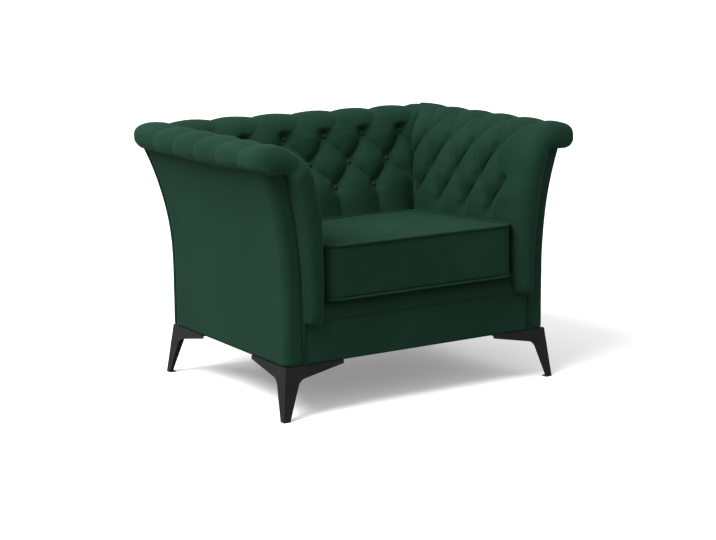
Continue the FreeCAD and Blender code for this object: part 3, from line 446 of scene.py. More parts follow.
def velvet(name, nap_turn):
    """Short-piled velvet: brushed patches, a fine pile and a soft sheen at the edges."""
    settings = bpy.context.scene.armchair_velvet
    cloth = Finish(name)
    brushed = cloth.clouds(0.16, 4.0, cloth.place((1, 1, 0.55), (0, 0, nap_turn)), 0.5)
    strokes = cloth.clouds(0.018, 3.0, cloth.place((1, 1, 0.25), (0, 0, nap_turn)))
    pile = cloth.clouds(0.0011, 2.0)
    streaks = cloth.spread(strokes, 0.1, 0.75, 0.7, 1.0)
    patches = cloth.times(cloth.spread(brushed, 0.3, 0.72), streaks)
    cloth.paint(cloth.between(patches, settings.colour, settings.brushed))
    cloth.roughen(brushed, 0.78, 0.92)
    cloth.emboss(strokes, 0.0006, 0.35)
    cloth.emboss(pile, 0.0004, 0.5)
    cloth.set(
        sheen=settings.sheen, sheen_roughness=0.42, sheen_tint=(0.30, 0.85, 0.60, 1), specular=0.03)
    return cloth.material


def painted_steel():
    """Matt black powder coat with a fine orange-peel grain and paler patches of tone."""
    settings = bpy.context.scene.armchair_velvet
    coat = Finish("black_powder_coat")
    grain = coat.clouds(0.0012, 2.0)
    patches = coat.clouds(0.05, 3.0)
    pale = tuple(value * 1.7 for value in settings.steel)
    coat.paint(coat.between(coat.spread(patches, 0.35, 0.7), settings.steel, pale))
    coat.roughen(patches, 0.5, 0.66)
    coat.emboss(grain, 0.0002, 0.5)
    coat.set(specular=0.12)
    return coat.material


def plain_finish(name, dark, light, size, roughness, relief, metallic=0.0):
    """A fine-grained finish such as moulded plastic, zinc or spring steel."""
    skin = Finish(name)
    grain = skin.clouds(size, 3.0)
    patches = skin.clouds(size * 14, 2.0)
    skin.paint(skin.between(skin.spread(patches, 0.3, 0.7), dark, light))
    skin.roughen(patches, *roughness)
    skin.emboss(grain, relief, 0.6)
    skin.set(metallic=metallic)
    return skin.material


def woven(name, dark, light, thread, relief):
    """Plain weave of crossing threads, uneven in thickness and tone."""
    cloth = Finish(name)
    warp = cloth.bands(thread, "X", 1.2)
    weft = cloth.bands(thread, "Y", 1.2)
    tone = cloth.clouds(thread * 9, 3.0)
    ridges = [cloth.spread(threads, 0.1, 0.9, 0.35, 1.0) for threads in (warp, weft)]
    mesh = cloth.times(*ridges)
    worn = cloth.times(mesh, cloth.spread(tone, 0.2, 0.8, 0.6, 1.0))
    cloth.paint(cloth.between(worn, dark, light))
    cloth.roughen(tone, 0.8, 0.95)
    cloth.emboss(mesh, relief, 0.8)
    cloth.set(sheen=0.1, specular=0.2)
    return cloth.material


def timber(name, dark, light, ring, direction, plies=False):
    """Wood with rings that run along the piece, pores and an uneven tone."""
    wood = Finish(name)
    rings = wood.bands(ring, direction, 0.6 if plies else 6.0)
    pores = wood.clouds(0.0016, 3.0, wood.place((1, 0.08, 1)))
    tone = wood.clouds(0.09, 3.0)
    grown = wood.times(rings, wood.spread(tone, 0.2, 0.8, 0.5, 1.0))
    wood.paint(wood.between(grown, light, dark))
    wood.roughen(pores, 0.55, 0.72)
    wood.emboss(pores, 0.0003, 0.5)
    wood.set(specular=0.3)
    return wood.material


def seat_foam():
    foam = Finish("seat_foam")
    cells = foam.cells(0.0022)
    tone = foam.clouds(0.06, 3.0)
    foam.paint(foam.between(foam.times(cells, tone), (0.62, 0.56, 0.36), (0.83, 0.78, 0.6)))
    foam.roughen(tone, 0.85, 0.95)
    foam.emboss(cells, 0.0008, 0.7)
    return foam.material


black = ((0.006, 0.006, 0.006), (0.025, 0.025, 0.026))
green = ((0.008, 0.024, 0.016), (0.028, 0.075, 0.052))
tape_green = ((0.006, 0.018, 0.012), (0.02, 0.055, 0.038))
jute = ((0.16, 0.1, 0.05), (0.5, 0.37, 0.2))
plastic = ((0.012, 0.012, 0.012), (0.03, 0.03, 0.03))
zinc = ((0.5, 0.5, 0.5), (0.68, 0.68, 0.66))
bare_steel = ((0.2, 0.2, 0.21), (0.42, 0.42, 0.43))
nickel = ((0.45, 0.45, 0.43), (0.62, 0.62, 0.6))
finishes = {
    "leg_steel": (painted_steel,),
    "foam": (seat_foam,),
    "hessian": (woven, "jute_hessian", *jute, 0.0022, 0.0007),
    "dust_cloth": (woven, "black_dust_cloth", *black, 0.0012, 0.0002),
    "deck_cloth": (woven, "green_lining", *green, 0.0009, 0.0002),
    "zip_tape": (woven, "zip_tape", *tape_green, 0.0008, 0.0002),
    "beech": (timber, "beech", (0.34, 0.19, 0.09), (0.62, 0.42, 0.25), 0.012, "Z"),
    "plywood": (timber, "birch_plywood", (0.4, 0.26, 0.13), (0.7, 0.53, 0.33), 0.0032, "Y", True),
    "glide_plastic": (plain_finish, "glide_plastic", *plastic, 0.0015, (0.5, 0.65), 0.0002),
    "screw_steel": (plain_finish, "zinc_plate", *zinc, 0.0008, (0.28, 0.42), 0.0001, 1.0),
    "spring_steel": (plain_finish, "spring_steel", *bare_steel, 0.0009, (0.3, 0.5), 0.0001, 1.0),
    "zip_metal": (plain_finish, "nickel", *nickel, 0.0006, (0.22, 0.36), 0.0001, 1.0),
}
materials = {}


def material_for(slot):
    """The finish of one of the frame's material slots, made once."""
    if slot not in materials:
        maker, *values = finishes[slot]
        materials[slot] = maker(*values)
    return materials[slot]


def velvet_for(part):
    """Velvet for one part of the chair, its nap brushed its own way."""
    turns = {"pads": 0.4, "covers": 1.9, "cushion": 2.7, "trim": 1.1}
    key = "velvet_" + part
    if key not in materials:
        materials[key] = velvet("bottle_green_velvet_" + part, turns[part])
    return materials[key]


def velvet_piece(name, bm, part, node, body="chair"):
    """A piece of velvet work that takes the place of one of the frame's nodes."""
    piece = add_object(name, bm, velvet_for(part), body)
    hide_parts(node)
    return piece


def plain_piece(name, bm, slot, node, body="chair"):
    """A piece of foam, lining or tape that takes the place of one of the frame's nodes."""
    piece = add_object(name, bm, material_for(slot), body)
    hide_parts(node)
    return piece


# Tufted pads

class Thread:
    """One line of cloth along a pad, at one place of its profile."""

    def __init__(self, across, height, key, puff):
        self.across = across
        self.height = height
        self.key = key
        self.puff = puff
        self.travel = 0.0
        self.normal = (0.0, 0.0)
        self.wrap = None


def roll_keys(inner, outer, start, end):
    """Places round the rolled top, each with its puff and its depth in the mitre."""
    keys = []
    turns = ((inner, start), (inner, 90.0), (outer, 90.0), (outer, 40.0), (outer, -5.0))
    turns += ((outer, (end - 5.0) / 2), (outer, end))
    for center, degrees in turns:
        turn = math.radians(degrees)
        fade = ease((degrees - end) / (60.0 - end))
        across = center + roll_radius * math.cos(turn)
        height = roll_height + roll_radius * math.sin(turn)
        keys.append((across, height, roll_hump * fade, -0.006 if degrees > 90 else 0.0))
    return keys


def pad_keys(seat_edge, foot, rows, mitres, roll):
    """Places up a pad: its foot, its knee, a row of buttons each, and the roll."""
    knee = neck_height - 0.245
    edge = seat_edge + low_puff
    keys = [(edge, height, low_puff, 0.0) for height in (foot - 0.0015, knee)]
    for (setback, drop, puff), mitre in zip(rows, mitres):
        keys.append((seat_edge + setback, neck_height - drop, puff, mitre))
    last, first = keys[-1], roll[0]
    middle = [(one + other) / 2 for one, other in zip(last, first)]
    return keys + [tuple(middle)] + roll


def threads_through(keys, step):
    """Threads at even steps on a smooth line through the keys, with their normals."""
    places = [Vector(key[:2]) for key in keys]
    spans = [(after - before).length for before, after in zip(places, places[1:])]
    slopes = [(places[1] - places[0]) / spans[0]]
    for index in range(1, len(places) - 1):
        before = (places[index] - places[index - 1]) / spans[index - 1]
        after = (places[index + 1] - places[index]) / spans[index]
        total = spans[index - 1] + spans[index]
        slopes.append((before * spans[index] + after * spans[index - 1]) / total)
    slopes.append((places[-1] - places[-2]) / spans[-1])
    threads = []
    for index, span in enumerate(spans):
        count = max(2, round(span / step))
        for part in range(count + (index == len(spans) - 1)):
            t = part / count
            spot = (2 * t ** 3 - 3 * t ** 2 + 1) * places[index]
            spot += (t ** 3 - 2 * t ** 2 + t) * span * slopes[index]
            spot += (3 * t ** 2 - 2 * t ** 3) * places[index + 1]
            spot += (t ** 3 - t ** 2) * span * slopes[index + 1]
            puff = keys[index][2] + (keys[index + 1][2] - keys[index][2]) * ease(t)
            threads.append(Thread(spot.x, spot.y, index + t, puff))
    for index, thread in enumerate(threads):
        before = threads[max(index - 1, 0)]
        after = threads[min(index + 1, len(threads) - 1)]
        run = after.across - before.across
        rise = after.height - before.height
        length = math.hypot(run, rise)
        thread.normal = (-rise / length, run / length)
        if index:
            step_back = threads[index - 1]
            gap = math.hypot(thread.across - step_back.across, thread.height - step_back.height)
            thread.travel = step_back.travel + gap
    return threads


class Tufting:
    """Where the buttons of a pad are, and how high the cloth stands between them."""

    def __init__(self, threads, first, pitch, rows, smooth_front):
        self.first = first
        self.pitch = pitch
        self.rows = rows
        self.smooth_front = smooth_front
        self.last = (max(rows[-1]) - first) / pitch
        self.row_travel = []
        for row in range(len(rows)):
            nearest = min(threads, key=lambda thread: abs(thread.key - first_row_key - row))
            self.row_travel.append(nearest.travel)

    def button_share(self, thread, along):
        """Nothing at a button, one well away from all of them."""
        nearest = 1.0
        for row, places in enumerate(self.rows):
            rise = thread.travel - self.row_travel[row]
            if abs(rise) < hollow_reach:
                for place in places:
                    gap = (along - place) ** 2 + rise ** 2
                    nearest = min(nearest, gap)
        return 1 - math.exp(-nearest / hollow_radius ** 2)

    def pillow(self, thread, along):
        """Nothing on a pleat, one at the middle of a puff."""
        level = self.level(thread)
        turns = (along - self.first) / self.pitch
        edge = self.front_edge(level)
        if self.smooth_front and turns < edge:
            return puffed((edge - turns) * self.pitch / front_smooth_run)
        one = turns - level / 2
        other = turns + level / 2
        product = self.across(one) * self.across(other)
        power = 0.5 + 0.5 * ease(min(level, 3 - level) / 0.45)
        share = product ** power
        last = self.last + max(0.0, level - 2) / 2
        if turns > last:
            beyond = puffed((turns - last) * self.pitch / rear_smooth_run)
            share += (beyond - share) * ease((level - 2) / 0.6)
        return share

    @staticmethod
    def level(thread):
        """Nothing at the lowest row of buttons, one more at each row, three on the roll."""
        row = thread.key - first_row_key
        top = last_row_key - first_row_key
        if row > top:
            row = top + (row - top) / (roll_key - last_row_key)
        return max(0.0, min(3.0, row))

    @staticmethod
    def front_edge(level):
        """The foremost pleat, in pitches from the first button: rows are set off by half."""
        return -(1 - abs(1 - level % 2)) / 2

    @staticmethod
    def across(turns):
        return puffed(2 * abs(turns - round(turns)))

    def lift(self, thread, along, front_puff):
        """How far the cloth stands out from the line through the buttons."""
        level = self.level(thread)
        low = (0.08 + 0.10 * ease(level - 2)) * thread.puff
        if not self.smooth_front:
            over_row = ease((level - 2) / 0.35) * (1 - ease((level - 2.5) / 0.5))
            low += 0.45 * thread.puff * over_row
        high = thread.puff
        if self.smooth_front and (along - self.first) / self.pitch < self.front_edge(level):
            high = min(thread.puff, front_puff)
        share = self.pillow(thread, along)
        away = self.button_share(thread, along)
        return (low + share * (high - low)) * away - button_pit * (1 - away)


class CornerJoint:
    """Where each line of an arm's cloth meets its twin of the back, and how roundly it turns."""

    def __init__(self, arm_keys, back_keys):
        self.places = []
        for index, (arm, back) in enumerate(zip(arm_keys, back_keys)):
            height = (arm[1] + back[1]) / 2
            turn = max(0.0, arm[0] - corner_x)
            if index <= last_row_key + 1:
                along_arm = arm[0] - arm[3]
                along_back = half_seat + (back[0] - back[3] - seat_rear) / mitre_slope
                x = (along_arm + along_back) / 2
                y = seat_rear + mitre_slope * (x - half_seat)
                turn = 0.0 if index <= last_row_key else turn
            else:
                shrink = 1 + arm[2] / roll_radius
                x = arm_roll_center(arm[0]) + (arm[0] - arm_roll_center(arm[0])) * shrink
                y = back_roll_center(back[0]) + (back[0] - back_roll_center(back[0])) * shrink
                height = roll_height + (height - roll_height) * shrink
                x -= (1 - math.cos(quarter_turn)) * turn
                y -= (1 - math.cos(quarter_turn)) * turn
            self.places.append((x, y, height, turn))

    def at(self, key):
        """Meeting place and turning radius for any line between the keys."""
        last = len(self.places) - 1
        index = min(int(key), last - 1)
        t = key - index
        points = [self.places[max(0, min(last, index + step))] for step in (-1, 0, 1, 2)]
        result = []
        for one, two, three, four in zip(*points):
            squared = (2 * one - 5 * two + 4 * three - four) * t * t
            cubed = (3 * two - one - 3 * three + four) * t ** 3
            result.append(0.5 * (2 * two + (three - one) * t + squared + cubed))
        result[3] = max(0.0, result[3])
        return result


def arm_roll_center(across):
    return max(arm_roll_inner, min(arm_roll_outer, across))


def back_roll_center(across):
    return max(back_roll_inner, min(back_roll_outer, across))


def cloth_end(place, turn):
    """Where a line of cloth ends in the mitre, counted along the cloth."""
    return place + (quarter_turn - math.sin(quarter_turn)) * turn


def turned(across, along, end, turn):
    """Sends a line of cloth round the corner over its last stretch before the mitre."""
    begin = end - turn * quarter_turn
    if turn < 1e-5 or along <= begin:
        return across, along
    angle = (along - begin) / turn
    return across - turn * (1 - math.cos(angle)), begin + turn * math.sin(angle)


def cloth_place(thread, along, lift, end, goal, turn, lean, droop):
    """Plan place and height of cloth that leans and droops as it swells, up to its mitre."""
    share = max(0.0, min(1.0, (end - along) / mitre_dive))
    rounded = math.sqrt(1 - (1 - share) ** 2)
    n_across, n_up = thread.normal
    last_across = thread.across - turn * (1 - math.cos(quarter_turn))
    across = thread.across + n_across * lift * rounded
    slack = 1 - ease(thread.key - last_row_key)
    height = thread.height + (n_up - droop * slack) * lift * rounded
    place, depth = turned(across, along - lean * slack * lift * rounded, end, turn)
    place += (goal[0] - last_across) * (1 - rounded)
    return place, depth, height + (goal[1] - thread.height) * (1 - rounded)


def roll_front_lift(thread, along):
    """The underside of an arm's roll rises towards the arm's front."""
    return roll_front_rise * ease((thread.key - 9.5) / 2.5) * (1 - ease(along / 0.28))


def foot_round(thread, lift, foot):
    """The lowest edge of a pad is rounded under a little."""
    above = max(0.0, min(1.0, (thread.height - foot) / 0.012))
    return lift * (0.8 + 0.2 * math.sqrt(1 - (1 - above) ** 2))


def piping_path():
    """The cord's middle line up an arm front, over its bend and out under the roll."""
    points = [(piping_half_spacing, base_bottom)]
    steps = 24
    for index in range(steps + 1):
        height = piping_flare_start + (piping_top - piping_flare_start) * index / steps
        points.append((piping_line(height), height))
    lean = 2 * math.atan(piping_flare / (piping_top - piping_flare_start))
    center = (points[-1][0] + piping_turn_radius * math.cos(lean),
              points[-1][1] - piping_turn_radius * math.sin(lean))
    start = 180 - math.degrees(lean)
    points += arc_points(center, piping_turn_radius, start, 90.0, 8)[1:]
    points.append((arm_neck - 2 * piping_radius, points[-1][1]))
    return points


def wrap_targets(threads):
    """Where each thread of an arm, turned round the arm's front, meets the cord."""
    path = piping_path()
    crown = Vector(path[-2])
    bend = Vector(path[-7])
    end = Vector(path[-1])
    top_key = last_row_key + 1.0
    last_key = threads[-1].key
    for thread in threads:
        if thread.key <= last_row_key:
            nx, nz = thread.normal
            depth = 0.05
            for _ in range(5):
                edge = piping_line(thread.height - nz * depth) - piping_radius / 2
                depth = (edge - thread.across) / -nx
            thread.wrap = Vector((thread.across - nx * depth, thread.height - nz * depth))
            low_wrap = thread.wrap
        elif thread.key <= top_key:
            share = thread.key - last_row_key
            thread.wrap = low_wrap.lerp(bend, share) if share < 1 else bend
        else:
            share = (thread.key - top_key) / (last_key - top_key)
            run = min(1.0, share * 1.15)
            if run < 0.4:
                thread.wrap = bend.lerp(crown, run / 0.4)
            else:
                thread.wrap = crown.lerp(end, (run - 0.4) / 0.6)


def arm_keys():
    roll = roll_keys(arm_roll_inner, arm_roll_outer, 135.0, -80.0)
    return pad_keys(half_seat, pad_foot, arm_rows, (0.0, -0.015, -0.031), roll)


def back_keys():
    roll = roll_keys(back_roll_inner, back_roll_outer, 160.0, -60.0)
    return pad_keys(seat_rear, back_pad_foot, back_rows, (0.012, 0.016, 0.012), roll)


def corner_joint():
    return CornerJoint(arm_keys(), back_keys())


def arm_surface(padding):
    """The whole outer skin of the right arm pad, from the cord on its front to the mitre."""
    step = padding.mesh_step
    keys, joint = arm_keys(), corner_joint()
    threads = threads_through(keys, step)
    wrap_targets(threads)
    pitch = padding.arm_pitch
    first = 0.144
    rows = [
        [first + pitch * index for index in range(3)],
        [first + pitch * (index - 0.5) for index in range(4)],
        [first + pitch * index for index in range(4)],
    ]
    tufting = Tufting(threads, first, pitch, rows, True)
    along_columns = round((corner_y + 0.090 - nose_depth) / step)

    def cloth(thread, along, x, y, turn, height):
        lift = foot_round(thread, tufting.lift(thread, along, padding.front_puff), pad_foot)
        spot = Vector((thread.across, along, thread.height))
        lift += unevenness(spot, 0.06, 0.0011) + unevenness(spot, 0.022, 0.0004)
        tufted = max(1e-6, ease((along - 0.03) / 0.05))
        place = Vector(cloth_place(
            thread, along, lift, cloth_end(y, turn), (x, height), turn,
            0.5 * tufted, 0.25 * tufted))
        place.z += roll_front_lift(thread, along)
        return place

    def place(column, row):
        thread = threads[row]
        x, y, height, radius = joint.at(thread.key)
        if column >= nose_columns:
            run = cloth_end(y, radius) - nose_depth
            along = nose_depth + run * (column - nose_columns) / along_columns
            spot = cloth(thread, along, x, y, radius, height)
            return set_out(spot.x, spot.y, spot.z)
        turn = math.pi * column / nose_columns
        edge = cloth(thread, nose_depth, x, y, radius, height)
        share = (1 + math.cos(turn)) / 2
        x = edge.x + (thread.wrap.x - edge.x) * share
        z = edge.z + (thread.wrap.y - edge.z) * share
        above = max(0.0, min(1.0, (thread.height - pad_foot) / 0.03))
        bulge = nose_bulge - roll_nose_slimming * ease(thread.key - last_row_key)
        bulge *= 0.75 + 0.25 * math.sqrt(1 - (1 - above) ** 2)
        under = ease((thread.key - threads[-1].key + 1.2) / 1.2)
        bulge *= 1 - 0.75 * under
        depth = nose_depth + (wrap_depth - nose_depth) * share - bulge * math.sin(turn) ** 0.85
        depth += unevenness(Vector((x, 3.0, z)), 0.05, 0.0010) * math.sin(turn)
        return set_out(x, depth, z)

    bm = grid_surface(nose_columns + along_columns, len(threads) - 1, place)
    face_towards(bm, set_out(half_base, 0.3, 0.5))
    return bm, threads, rows


def back_surface(padding):
    """The outer skin of the back pad between its two mitres."""
    step = padding.mesh_step
    joint = corner_joint()
    threads = threads_through(back_keys(), step)
    pitch = padding.back_pitch
    first = pitch / 2
    right = [
        [first + pitch * index for index in range(2)],
        [pitch * index for index in range(3)],
        [first + pitch * index for index in range(3)],
    ]
    rows = [sorted({side * place for place in row for side in (-1, 1)}) for row in right]
    tufting = Tufting(threads, first, pitch, rows, False)
    columns = 2 * round((corner_x + 0.090) / step)

    def place(column, row):
        thread = threads[row]
        x, y, height, radius = joint.at(thread.key)
        end = cloth_end(x, radius)
        along = end * (2 * column / columns - 1)
        lift = foot_round(thread, tufting.lift(thread, abs(along), 0.0), back_pad_foot)
        spot = Vector((along, 5.0, thread.height))
        lift += unevenness(spot, 0.06, 0.0012) + unevenness(spot, 0.022, 0.0004)
        depth, away, up = cloth_place(
            thread, abs(along), lift, end, (y, height), radius, 0.0, 0.25)
        return set_out(math.copysign(away, along), depth, up)

    bm = grid_surface(columns, len(threads) - 1, place)
    face_towards(bm, set_out(0, base_depth, 0.55))
    return bm, threads, rows


def pad_piece(name, bm, node):
    """One stuffed pad from its outer skin."""
    bmesh.ops.remove_doubles(bm, verts=bm.verts[:], dist=1e-6)
    pad = thicken(velvet_piece(name, bm, "pads", node), pad_cloth)


# Buttons

def button_mesh():
    """A covered button: cloth drawn over a dome and tucked in under its rim."""
    bm = bmesh.new()
    outline = (
        (0.0, 0.0052), (0.0026, 0.0050), (0.0052, 0.0043), (0.0071, 0.0031), (0.0082, 0.0017),
        (0.0084, 0.0004), (0.0075, -0.0010), (0.0052, -0.0016), (0.0, -0.0018))
    corners = [bm.verts.new((x, 0, z)) for x, z in outline]
    edges = [bm.edges.new(pair) for pair in zip(corners, corners[1:])]
    bmesh.ops.spin(
        bm, geom=corners + edges, cent=(0, 0, 0), axis=(0, 0, 1), dvec=(0, 0, 0),
        angle=math.tau, steps=28, use_merge=True, use_duplicate=False)
    bmesh.ops.remove_doubles(bm, verts=bm.verts[:], dist=1e-5)
    for corner in bm.verts:
        reach = math.hypot(corner.co.x, corner.co.y)
        turn = math.atan2(corner.co.y, corner.co.x)
        corner.co.z += 0.00022 * math.cos(14 * turn) * ease(reach / 0.008)
    bmesh.ops.recalc_face_normals(bm, faces=bm.faces[:])
    return bm


def placed_buttons(threads, rows, place_of):
    """One button mesh for every place of the rows."""
    pattern = button_mesh()
    whole = bmesh.new()
    stamp = bpy.data.meshes.new("button_pattern")
    for row, places in enumerate(rows):
        thread = min(threads, key=lambda one: abs(one.key - first_row_key - row))
        for along in places:
            spot, normal = place_of(thread, along)
            facing = normal.to_track_quat("Z", "Y").to_matrix().to_4x4()
            copy = pattern.copy()
            bmesh.ops.transform(copy, matrix=Matrix.Translation(spot) @ facing, verts=copy.verts[:])
            copy.to_mesh(stamp)
            copy.free()
            whole.from_mesh(stamp)
    bpy.data.meshes.remove(stamp)
    pattern.free()
    return whole


def button_spot(thread):
    """Where a button sits on its thread, sunk into the cloth's pit."""
    sink = button_stand - button_pit
    return thread.across + thread.normal[0] * sink, thread.height + thread.normal[1] * sink


def arm_button_place(thread, along):
    x, height = button_spot(thread)
    return set_out(x, along, height), Vector((thread.normal[0], 0, thread.normal[1]))


def back_button_place(thread, along):
    depth, height = button_spot(thread)
    return set_out(along, depth, height), Vector((0, *thread.normal))


# Outer covers

def cover_edge(height):
    """Where an outer arm cover starts, tucked behind the cord."""
    return piping_line(min(height, piping_top)) + 0.0012


def arm_cover_point(column, height, strip_columns, corner_columns, side_columns):
    """Place and outward direction on the outer arm cover at a height."""
    outer = outer_arm(height)
    inner = outer - front_corner_radius
    if column <= strip_columns:
        start, end = Vector((cover_edge(height), 0.0)), Vector((inner, 0.0))
        return start.lerp(end, column / strip_columns), Vector((0.0, -1.0))
    if column <= strip_columns + corner_columns:
        turn = math.radians(-90 + 90 * (column - strip_columns) / corner_columns)
        normal = Vector((math.cos(turn), math.sin(turn)))
        return Vector((inner, front_corner_radius)) + normal * front_corner_radius, normal
    share = (column - strip_columns - corner_columns) / side_columns
    start = Vector((outer, front_corner_radius))
    end = Vector((outer, outer_back(height) - rear_corner_radius))
    return start.lerp(end, share), Vector((1.0, 0.0))


def seam_dip(distance):
    """Cloth sinks towards a seam that it is sewn into."""
    return -0.0026 * math.exp(-(distance / 0.005) ** 2)


def hem_turn(above):
    """The lowest edge turns in round the underside of the frame."""
    if above >= 0.007:
        return 0.0
    return -0.0035 * (1 - math.sqrt(1 - (1 - above / 0.007) ** 2))


def arm_cover_surface():
    """Right outer arm cover: a front strip, the front corner and the long side."""
    strip_columns, corner_columns, side_columns = 10, 14, 84
    columns = strip_columns + corner_columns + side_columns
    rows = 84
    crown = piping_path()[-1][1]

    def place(column, row):
        height = base_bottom + (neck_height + 0.010 - base_bottom) * row / rows
        spot, normal = arm_cover_point(
            column, height, strip_columns, corner_columns, side_columns)
        along_strip = spot.x - cover_edge(height) if column <= strip_columns else 1.0
        to_rear = (outer_back(height) - rear_corner_radius) - spot.y
        lift = seam_dip(along_strip) + seam_dip(to_rear) + hem_turn(height - base_bottom)
        solid = Vector((spot.x, spot.y, height))
        lift += unevenness(solid, 0.17, 0.0012) + unevenness(solid, 0.05, 0.0003)
        if column <= strip_columns + corner_columns and height > crown - piping_radius:
            height = min(height, crown - piping_radius + 0.0005)
        return set_out(spot.x + normal.x * lift, spot.y + normal.y * lift, height)

    bm = grid_surface(columns, rows, place)
    bmesh.ops.dissolve_degenerate(bm, dist=1e-6, edges=bm.edges[:])
    face_towards(bm, set_out(half_seat, 0.3, 0.4))
    return bm


def back_cover_surface():
    """Outer back cover with its two rounded ends."""
    corner_columns, wide_columns = 8, 120
    columns = 2 * corner_columns + wide_columns
    rows = 84

    def place(column, row):
        height = base_bottom + (neck_height - base_bottom) * row / rows
        radius = rear_corner_radius
        side = outer_arm(height)
        rear = outer_back(height)
        from_edge = min(column, columns - column)
        hand = -1 if 2 * column < columns else 1
        if from_edge <= corner_columns:
            turn = math.radians(90 * from_edge / corner_columns)
            normal = Vector((hand * math.cos(turn), math.sin(turn)))
            spot = Vector((hand * (side - radius), rear - radius)) + normal * radius
            to_seam = from_edge / corner_columns * radius * 1.57
        else:
            share = (column - corner_columns) / wide_columns
            spot = Vector((radius - side, rear)).lerp(Vector((side - radius, rear)), share)
            normal = Vector((0.0, 1.0))
            to_seam = 1.0
        lift = seam_dip(to_seam) + hem_turn(height - base_bottom) + seam_dip(neck_height - height)
        solid = Vector((spot.x, spot.y, height))
        lift += unevenness(solid, 0.19, 0.0012) + unevenness(solid, 0.05, 0.0003)
        return set_out(spot.x + normal.x * lift, spot.y + normal.y * lift, height)

    bm = grid_surface(columns, rows, place)
    face_towards(bm, set_out(0, base_depth / 2, 0.4))
    return bm


def closed_extrusion(outline, half_width, columns, shift):
    """A closed outline of depths and heights carried across the chair, its ends filled."""
    count = len(outline)

    def place(column, row):
        x = half_width * (2 * column / columns - 1)
        depth, height = outline[row % count]
        step_in, rise = shift(x, depth, height)
        return set_out(x, depth + step_in, height + rise)

    bm = grid_surface(columns, count, place)
    bmesh.ops.remove_doubles(bm, verts=bm.verts[:], dist=1e-6)
    bmesh.ops.holes_fill(bm, edges=[edge for edge in bm.edges if edge.is_boundary], sides=0)
    bmesh.ops.recalc_face_normals(bm, faces=bm.faces[:])
    return bm


def border_outline():
    """Front panel's section: flat, drawn in at its top seam and turned under its lower edge."""
    points = []
    rows = 30
    for index in range(rows + 1):
        height = base_bottom + (border_top - base_bottom) * index / rows
        depth = -seam_dip(border_top - height) - hem_turn(height - base_bottom)
        points.append((depth, height))
    points.append((cover_thickness, border_top))
    points.append((cover_thickness, base_bottom))
    return points


def edge_roll_outline():
    """The soft lip: from the border's seam it swells up and back under the cushion."""
    low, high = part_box("front_edge_roll")
    depth = high.y - base_front
    points = []
    for index in range(19):
        share = index / 18
        shape = math.sin(share * math.pi / 2)
        swell = 0.0015 + 0.027 * share ** 1.7 - 0.0035 * math.sin(share * math.pi)
        points.append((swell, low.z + (high.z - low.z) * shape))
    top = points[-1][1]
    rear = depth - 0.001
    points += [(0.044, top - 0.0008), (rear, top - 0.0018), (rear, top - 0.030)]
    points += [(0.006, top - 0.030), (0.006, low.z + 0.0005)]
    return points


# Loose cushion

def cushion_depth():
    level = welt_high.y - welt_low.y - framed_cushion_height * math.sin(slope)
    return level / math.cos(slope) + cushion_forward


def lay_down(place):
    """From the level cushion, front edge at nothing, to its sloping place on the deck."""
    y = place.y * math.cos(slope) + place.z * math.sin(slope)
    z = place.z * math.cos(slope) - place.y * math.sin(slope)
    front = base_front - cushion_overhang - cushion_forward
    return Vector((place.x, front + y, base_bottom + cushion_rise + z))


def round_corner(u, v, half_x, half_y, radius):
    """Moves a place on a rectangle so that the rectangle's corners become round."""
    past_x = abs(u) - (half_x - radius)
    past_y = abs(v) - (half_y - radius)
    if past_x <= 0 or past_y <= 0:
        return u, v
    a = past_x / radius
    b = past_y / radius
    x = half_x - radius + radius * a * math.sqrt(1 - b * b / 2)
    y = half_y - radius + radius * b * math.sqrt(1 - a * a / 2)
    return math.copysign(x, u), math.copysign(y, v)


def welt_loop(height, inset, count=16):
    """A level loop round the cushion with round corners."""
    half_x = cushion_half - inset
    depth = cushion_depth()
    radius = cushion_corner
    side, front, rear = half_x - radius, inset + radius, depth - inset - radius
    corners = ((side, front, -90), (side, rear, 0), (-side, rear, 90), (-side, front, 180))
    points = []
    for x, y, start in corners:
        for px, py in arc_points((x, y), radius, start, start + 90, count):
            points.append(Vector((px, py, height)))
    fine = []
    for index, spot in enumerate(points):
        after = points[(index + 1) % len(points)]
        pieces = max(1, round((after - spot).length / 0.02))
        fine += [spot.lerp(after, part / pieces) for part in range(pieces)]
    return fine


def cushion_block(shrink):
    """The cushion's cover before it is stuffed: flat panels joined along two seams."""
    half_x = cushion_half - shrink
    half_y = cushion_depth() / 2 - shrink
    bm = layered_net(56, 44)
    upright = [edge for edge in bm.edges if abs(edge.verts[0].co.z - edge.verts[1].co.z) > 0.5]
    bmesh.ops.subdivide_edges(bm, edges=upright, cuts=13, use_grid_fill=True)
    for corner in bm.verts:
        u = corner.co.x * 2 * half_x
        v = corner.co.y * 2 * half_y
        x, y = round_corner(u, v, half_x, half_y, cushion_corner - shrink)
        z = shrink + corner.co.z * (cushion_height - 2 * shrink)
        corner.co = (x, y + half_y + shrink, z)
    bmesh.ops.recalc_face_normals(bm, faces=bm.faces[:])
    return bm


